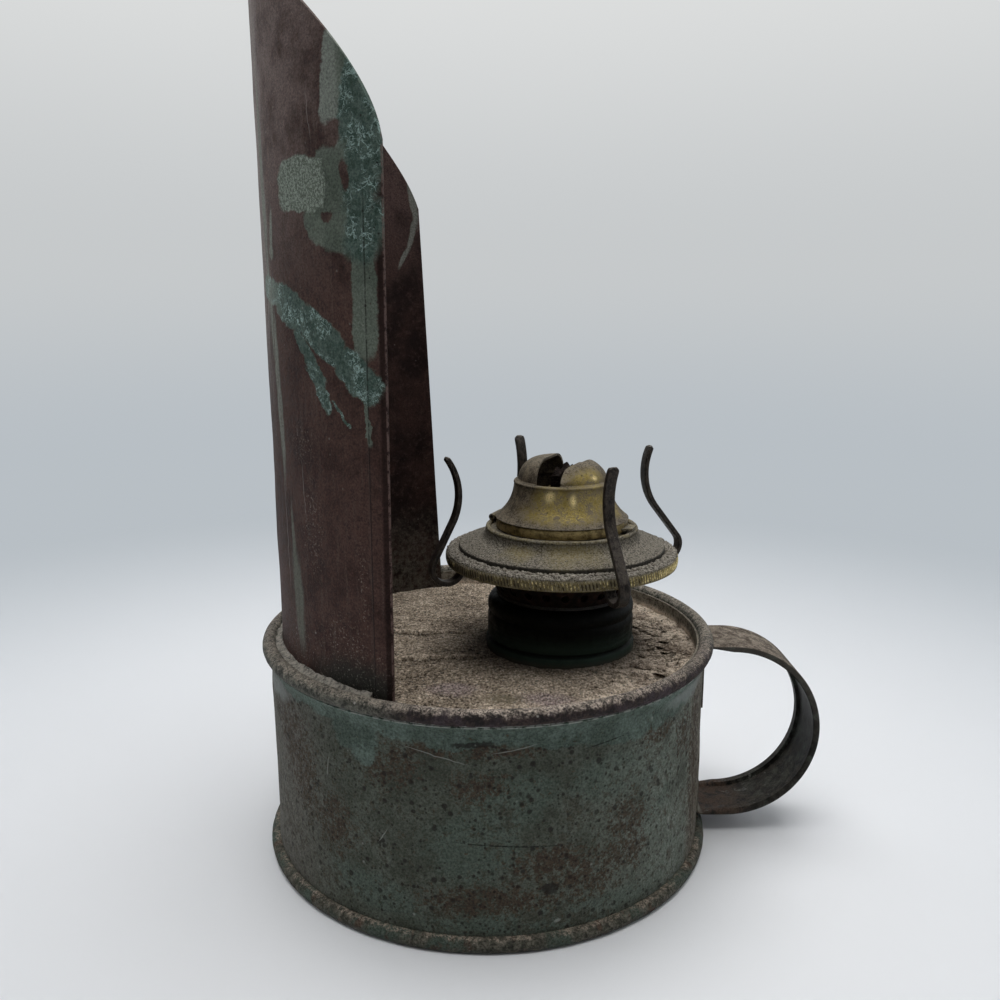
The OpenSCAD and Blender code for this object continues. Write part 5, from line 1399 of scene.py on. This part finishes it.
def wick_loop(z, shrink):
    """One loop round the wick's flat oval section."""
    half, r = (wick_w - wick_t) / 2.0, wick_t / 2.0 - shrink
    loop = [(x, r) for x in np.linspace(-half, half, 25)]
    loop += [(half + r * math.cos(a), r * math.sin(a)) for a in np.radians(np.linspace(72, -72, 7))]
    loop += [(x, -r) for x in np.linspace(half, -half, 25)]
    loop += [(-half - r * math.cos(a), r * math.sin(a)) for a in np.radians(np.linspace(-72, 72, 7))]
    return [(x, y, z) for x, y in loop]


levels = list(np.linspace(wick_low[2], wick_high[2] - 4.0, 60)) + list(np.linspace(wick_high[2] - 3.8, wick_high[2], 20))
wick_rows = np.array([wick_loop(z, 0.06 if 0 < k < len(levels) - 1 else 0.35) for k, z in enumerate(levels)])
burnt = fade(wick_rows[..., 2], wick_high[2] - 4.0, wick_high[2])
ragged_top = (0.5 + 0.5 * lumps(wick_rows * (1.0, 1.0, 0.0), 1.3, 95, 3)) * 1.5
wick_rows[..., 2] -= burnt * np.clip(ragged_top, 0.0, 2.4)
wick_rows[..., 1] += burnt * 0.3 * lumps(wick_rows, 0.9, 96, 2)
piece("flat_wick", [skin(at_burner(wick_rows, slot_az), "flat")], "wick", charred_cotton(), ["wick"])

# Settled grit: crumbs of dust on the chimney seat, on the cove, over the tray and along the top seam, and thin
# flakes lifting from the tray on the right. They lie where they fell and move with what carries them.


def crumb_dust():
    """Loose crumbs of pale grey-brown dust."""
    material, n, shader, place = coat("crumb_dust")
    mottle = n.noise(place, 0.5, 4.0, 0.7)
    drift = n.noise(place, 3.0, 3.0, 0.6)
    colour = n.mix(n.rise(mottle, 0.35, 0.65), (0.085, 0.075, 0.060), (0.30, 0.275, 0.23))
    colour = n.mix(n.rise(drift, 0.45, 0.6, 0.0, 0.5), colour, (0.12, 0.10, 0.078))
    n.put(shader["Base Color"], colour)
    n.put(shader["Roughness"], n.rise(mottle, 0.2, 0.8, 0.88, 1.0))
    relief(n, shader, mottle, 0.12)
    return material


scatter_inputs = {"Density": ("Float", 1.0), "Smallest": ("Float", 0.0001), "Largest": ("Float", 0.0004),
                  "Flatness": ("Float", 0.6), "Seed": ("Int", 1)}


def scatter_tree(name, crumb_kind, material):
    """Geometry nodes that strew crumbs or thin flakes over the faces of a base mesh."""
    n, given = flow(name, scatter_inputs)
    spots = n.add("GeometryNodeDistributePointsOnFaces", {"Mesh": given["Geometry"], "Density": given["Density"],
                                                          "Seed": given["Seed"]})
    facing = spots.node.outputs["Rotation"]
    if crumb_kind == "crumb":
        crumb = n.add("GeometryNodeMeshIcoSphere", {"Radius": 0.5, "Subdivisions": 2})
        size_of_noise, push = 1.6, 0.30
    else:
        crumb = n.add("GeometryNodeMeshGrid", {"Size X": 1.0, "Size Y": 0.8, "Vertices X": 6, "Vertices Y": 5})
        crumb = n.add("GeometryNodeExtrudeMesh", {"Mesh": crumb, "Offset Scale": 0.05, "Individual": False})
        size_of_noise, push = 0.9, 0.45
    wobble = n.add("ShaderNodeTexNoise", {"Scale": size_of_noise, "Detail": 2.0}, out=1)
    wobble = n.vector("SUBTRACT", wobble, (0.5, 0.5, 0.5))
    wobble = n.vector("MULTIPLY", wobble, (push, push, push * 2.0))
    crumb = n.add("GeometryNodeSetPosition", {"Geometry": crumb, "Offset": wobble})
    size = n.add("FunctionNodeRandomValue", {2: given["Smallest"], 3: given["Largest"], "Seed": given["Seed"]}, out=1)
    squash = n.add("ShaderNodeCombineXYZ", {0: size, 1: n.maths("MULTIPLY", size, 0.8),
                                            2: n.maths("MULTIPLY", size, given["Flatness"])})
    turn = n.add("FunctionNodeRandomValue", {0: (-0.35, -0.35, 0.0), 1: (0.35, 0.35, 6.28), "Seed": 7}, out=0,
                 data_type="FLOAT_VECTOR")
    strewn = n.add("GeometryNodeInstanceOnPoints", {"Points": spots, "Instance": crumb, "Rotation": facing,
                                                    "Scale": squash})
    strewn = n.add("GeometryNodeRotateInstances", {"Instances": strewn, "Rotation": turn})
    strewn = n.add("GeometryNodeRealizeInstances", {0: strewn})
    strewn = n.add("GeometryNodeSetMaterial", {"Geometry": strewn, "Material": material})
    n.tree.links.new(strewn, n.tree.nodes.new("NodeGroupOutput").inputs[0])
    return n.tree


def strew(name, tree, base_rows, body, density, smallest, largest, flatness, seed, wrap=True):
    """Strews crumbs over a strip of rows of points and makes them one piece. Sizes in mm, density per sq mm."""
    rows = np.asarray(base_rows, float)
    count, width = rows.shape[:2]
    faces = [[i * width + j, i * width + (j + 1) % width, (i + 1) * width + (j + 1) % width, (i + 1) * width + j]
             for i in range(count - 1) for j in range(width if wrap else width - 1)]
    base = bpy.data.meshes.new(name)
    base.from_pydata((rows.reshape(-1, 3) / MM).tolist(), [], faces)
    values = {"Density": density * MM * MM, "Smallest": smallest / MM, "Largest": largest / MM,
              "Flatness": flatness, "Seed": seed}
    inputs = {socket: (kind, values[socket]) for socket, (kind, _) in scatter_inputs.items()}
    return whole_piece(name, grown(name, tree, inputs, base), body)


crumbs = crumb_dust()
crumb_tree = scatter_tree("strewn crumbs", "crumb", crumbs)
flake_tree = scatter_tree("lifting flakes", "flake", dust_finish)
seat_base = turned([(ridge_r + 0.95, seat_z + 0.12), (ridge_r + 0.1, seat_z + 0.12)], 240, burner_x)
strew("seat_crumbs", crumb_tree, seat_base, "burner", 6.5, 0.30, 0.95, 0.75, 4)
rim_base = turned([(roll_c + 0.8, seat_z - 0.25), (roll_c, seat_z + 0.08)], 240, burner_x)
strew("rim_crumbs", crumb_tree, rim_base, "burner", 4.5, 0.25, 0.7, 0.6, 9)
cove_base = turned([(ridge_r - 0.5, ridge_z + 0.5), (cove_foot[0][0], cove_foot[0][1] + 0.03)], 240, burner_x)
strew("cove_grit", crumb_tree, cove_base, "burner", 2.0, 0.12, 0.4, 0.6, 12)
tray_band = [row + dust_height(row)[:, None] * (0.0, 0.0, 1.0) for row in
             (tray_ring(share, plate_z - 0.05)[::8] for share in np.linspace(0.06, 0.97, 20))]
strew("tray_crumbs", crumb_tree, tray_band, "lamp", 0.5, 0.15, 0.55, 0.7, 17)
flake_region = [[(x, y, plate_z + 0.55) for x in np.linspace(19.0, 36.0, 6)] for y in np.linspace(-19.0, 12.0, 8)]
flake_region = np.array(flake_region)
flake_region[..., 0] = np.minimum(flake_region[..., 0], np.sqrt(36.8 ** 2 - flake_region[..., 1] ** 2))
flake_region[..., 0] = np.maximum(flake_region[..., 0], burner_x + np.sqrt(np.maximum(
    15.2 ** 2 - flake_region[..., 1] ** 2, 0.0)))
flakes = strew("tray_flakes", flake_tree, flake_region, "lamp", 0.17, 1.4, 4.4, 0.55, 23, wrap=False)
flakes.data.attributes.new("dust_depth", "FLOAT", "POINT").data.foreach_set(
    "value", np.full(len(flakes.data.vertices), 0.42))

# Table and backdrop: a pale sweep all round the lamp, lit from above like a light tent.
floor_r, wall_r, bend_r, wall_h = 300.0, 450.0, 150.0, 900.0


def pale_sweep():
    """Plain pale paper; seen by the camera its far part is a smooth gradient, and near the lamp it takes shadow."""
    material = bpy.data.materials.new("pale_sweep")
    material.use_nodes = True
    n = Nodes(material.node_tree)
    shader = material.node_tree.nodes["Principled BSDF"]
    output = material.node_tree.nodes["Material Output"]
    at = n.add("ShaderNodeVectorMath", {0: n.add("ShaderNodeTexCoord", out=3), "Scale": MM}, operation="SCALE")
    climb = n.split(at, 2)
    ground = n.vector("MULTIPLY", at, (1.0, 1.0, 0.0))
    away = n.add("ShaderNodeVectorMath", {0: ground}, out=1, operation="LENGTH")
    behind = n.rise(n.split(at, 1), -200.0, -60.0)
    paper = n.mix(n.noise(at, 40.0, 2.0), (0.74, 0.755, 0.78), (0.76, 0.775, 0.80))
    dim_front = n.both(n.rise(climb, 5.0, 40.0), n.rise(behind, 1.0, 0.0))
    n.put(shader.inputs["Base Color"], n.mix(dim_front, paper, (0.06, 0.06, 0.06)))
    shader.inputs["Roughness"].default_value = 0.6
    low = n.mix(n.rise(climb, 20.0, 130.0), (0.480, 0.520, 0.555), (0.565, 0.585, 0.595))
    glow_colour = n.mix(n.rise(climb, 120.0, 330.0), low, (0.735, 0.745, 0.742))
    glow = n.add("ShaderNodeEmission", {"Color": glow_colour, "Strength": 1.0})
    rays = n.add("ShaderNodeLightPath")
    seen = n.most(rays, rays.node.outputs["Is Glossy Ray"], rays.node.outputs["Is Transmission Ray"])
    far = n.both(seen, behind, n.rise(away, 30.0, 300.0))
    mixed = n.add("ShaderNodeMixShader", {0: far, 1: shader.outputs[0], 2: glow})
    material.node_tree.links.new(mixed, output.inputs["Surface"])
    return material


sweep_outline = [(0.0, 0.0)] + straight((20.0, 0.0), (floor_r, 0.0), 28.0)
sweep_outline += arc(floor_r, bend_r, bend_r, -90.0, 0.0, 16) + [(wall_r, wall_h)]
sweep_rows = turned(sweep_outline, 96)
count, width = sweep_rows.shape[:2]
sweep_faces = [[i * width + j, (i + 1) * width + j, (i + 1) * width + (j + 1) % width, i * width + (j + 1) % width]
               for i in range(count - 1) for j in range(width)]
sweep_mesh = bpy.data.meshes.new("sweep")
sweep_mesh.from_pydata((sweep_rows.reshape(-1, 3) / MM).tolist(), [], sweep_faces)
sweep_mesh.shade_smooth()
sweep_mesh.materials.append(pale_sweep())
sweep = bpy.data.objects.new("sweep", sweep_mesh)
bpy.context.scene.collection.objects.link(sweep)


def soft_light(name, at, toward, size, power, colour):
    """Square soft light aimed at a point. Places in metres."""
    light = bpy.data.lights.new(name, "AREA")
    light.shape, light.size, light.energy, light.color = "SQUARE", size, power, colour
    holder = bpy.data.objects.new(name, light)
    holder.location = at
    holder.rotation_euler = (Vector(toward) - Vector(at)).to_track_quat("-Z", "Y").to_euler()
    bpy.context.scene.collection.objects.link(holder)


soft_light("top_light", (0.0, 0.01, 0.62), (0.0, 0.0, 0.0), 0.55, 3.4, (1.0, 0.99, 0.97))
soft_light("left_light", (-0.30, -0.30, 0.42), (0.0, 0.0, 0.05), 0.30, 0.25, (0.97, 0.98, 1.0))
soft_light("right_light", (0.32, -0.22, 0.36), (0.0, 0.0, 0.05), 0.30, 0.15, (1.0, 0.99, 0.97))
world = bpy.data.worlds.new("soft_room")
world.use_nodes = True
world.node_tree.nodes["Background"].inputs["Color"].default_value = (0.86, 0.90, 0.95, 1.0)
world.node_tree.nodes["Background"].inputs["Strength"].default_value = 0.3
bpy.context.scene.world = world

# Camera: held a little above the burner and tipped down, close to the lamp as the photograph was taken.
camera_at = Vector((0.0, -0.17103, 0.09886))
tip_down, swing, tilt = math.radians(11.634), math.radians(0.692), math.radians(0.210)
ahead = Vector((math.sin(swing) * math.cos(tip_down), math.cos(swing) * math.cos(tip_down), -math.sin(tip_down)))
level = Vector((math.cos(swing), -math.sin(swing), 0.0))
upright = level.cross(ahead)
across = level * math.cos(tilt) + upright * math.sin(tilt)
above = upright * math.cos(tilt) - level * math.sin(tilt)
lens = bpy.data.cameras.new("close_camera")
lens.sensor_fit, lens.sensor_width, lens.lens = "HORIZONTAL", 36.0, 34.12
lens.clip_start = 0.01
camera = bpy.data.objects.new("close_camera", lens)
bpy.context.scene.collection.objects.link(camera)
turn_to = Matrix((across, above, -ahead)).transposed().to_4x4()
camera.matrix_world = Matrix.Translation(camera_at) @ turn_to
bpy.context.scene.camera = camera
bpy.context.scene.view_settings.view_transform = "Standard"
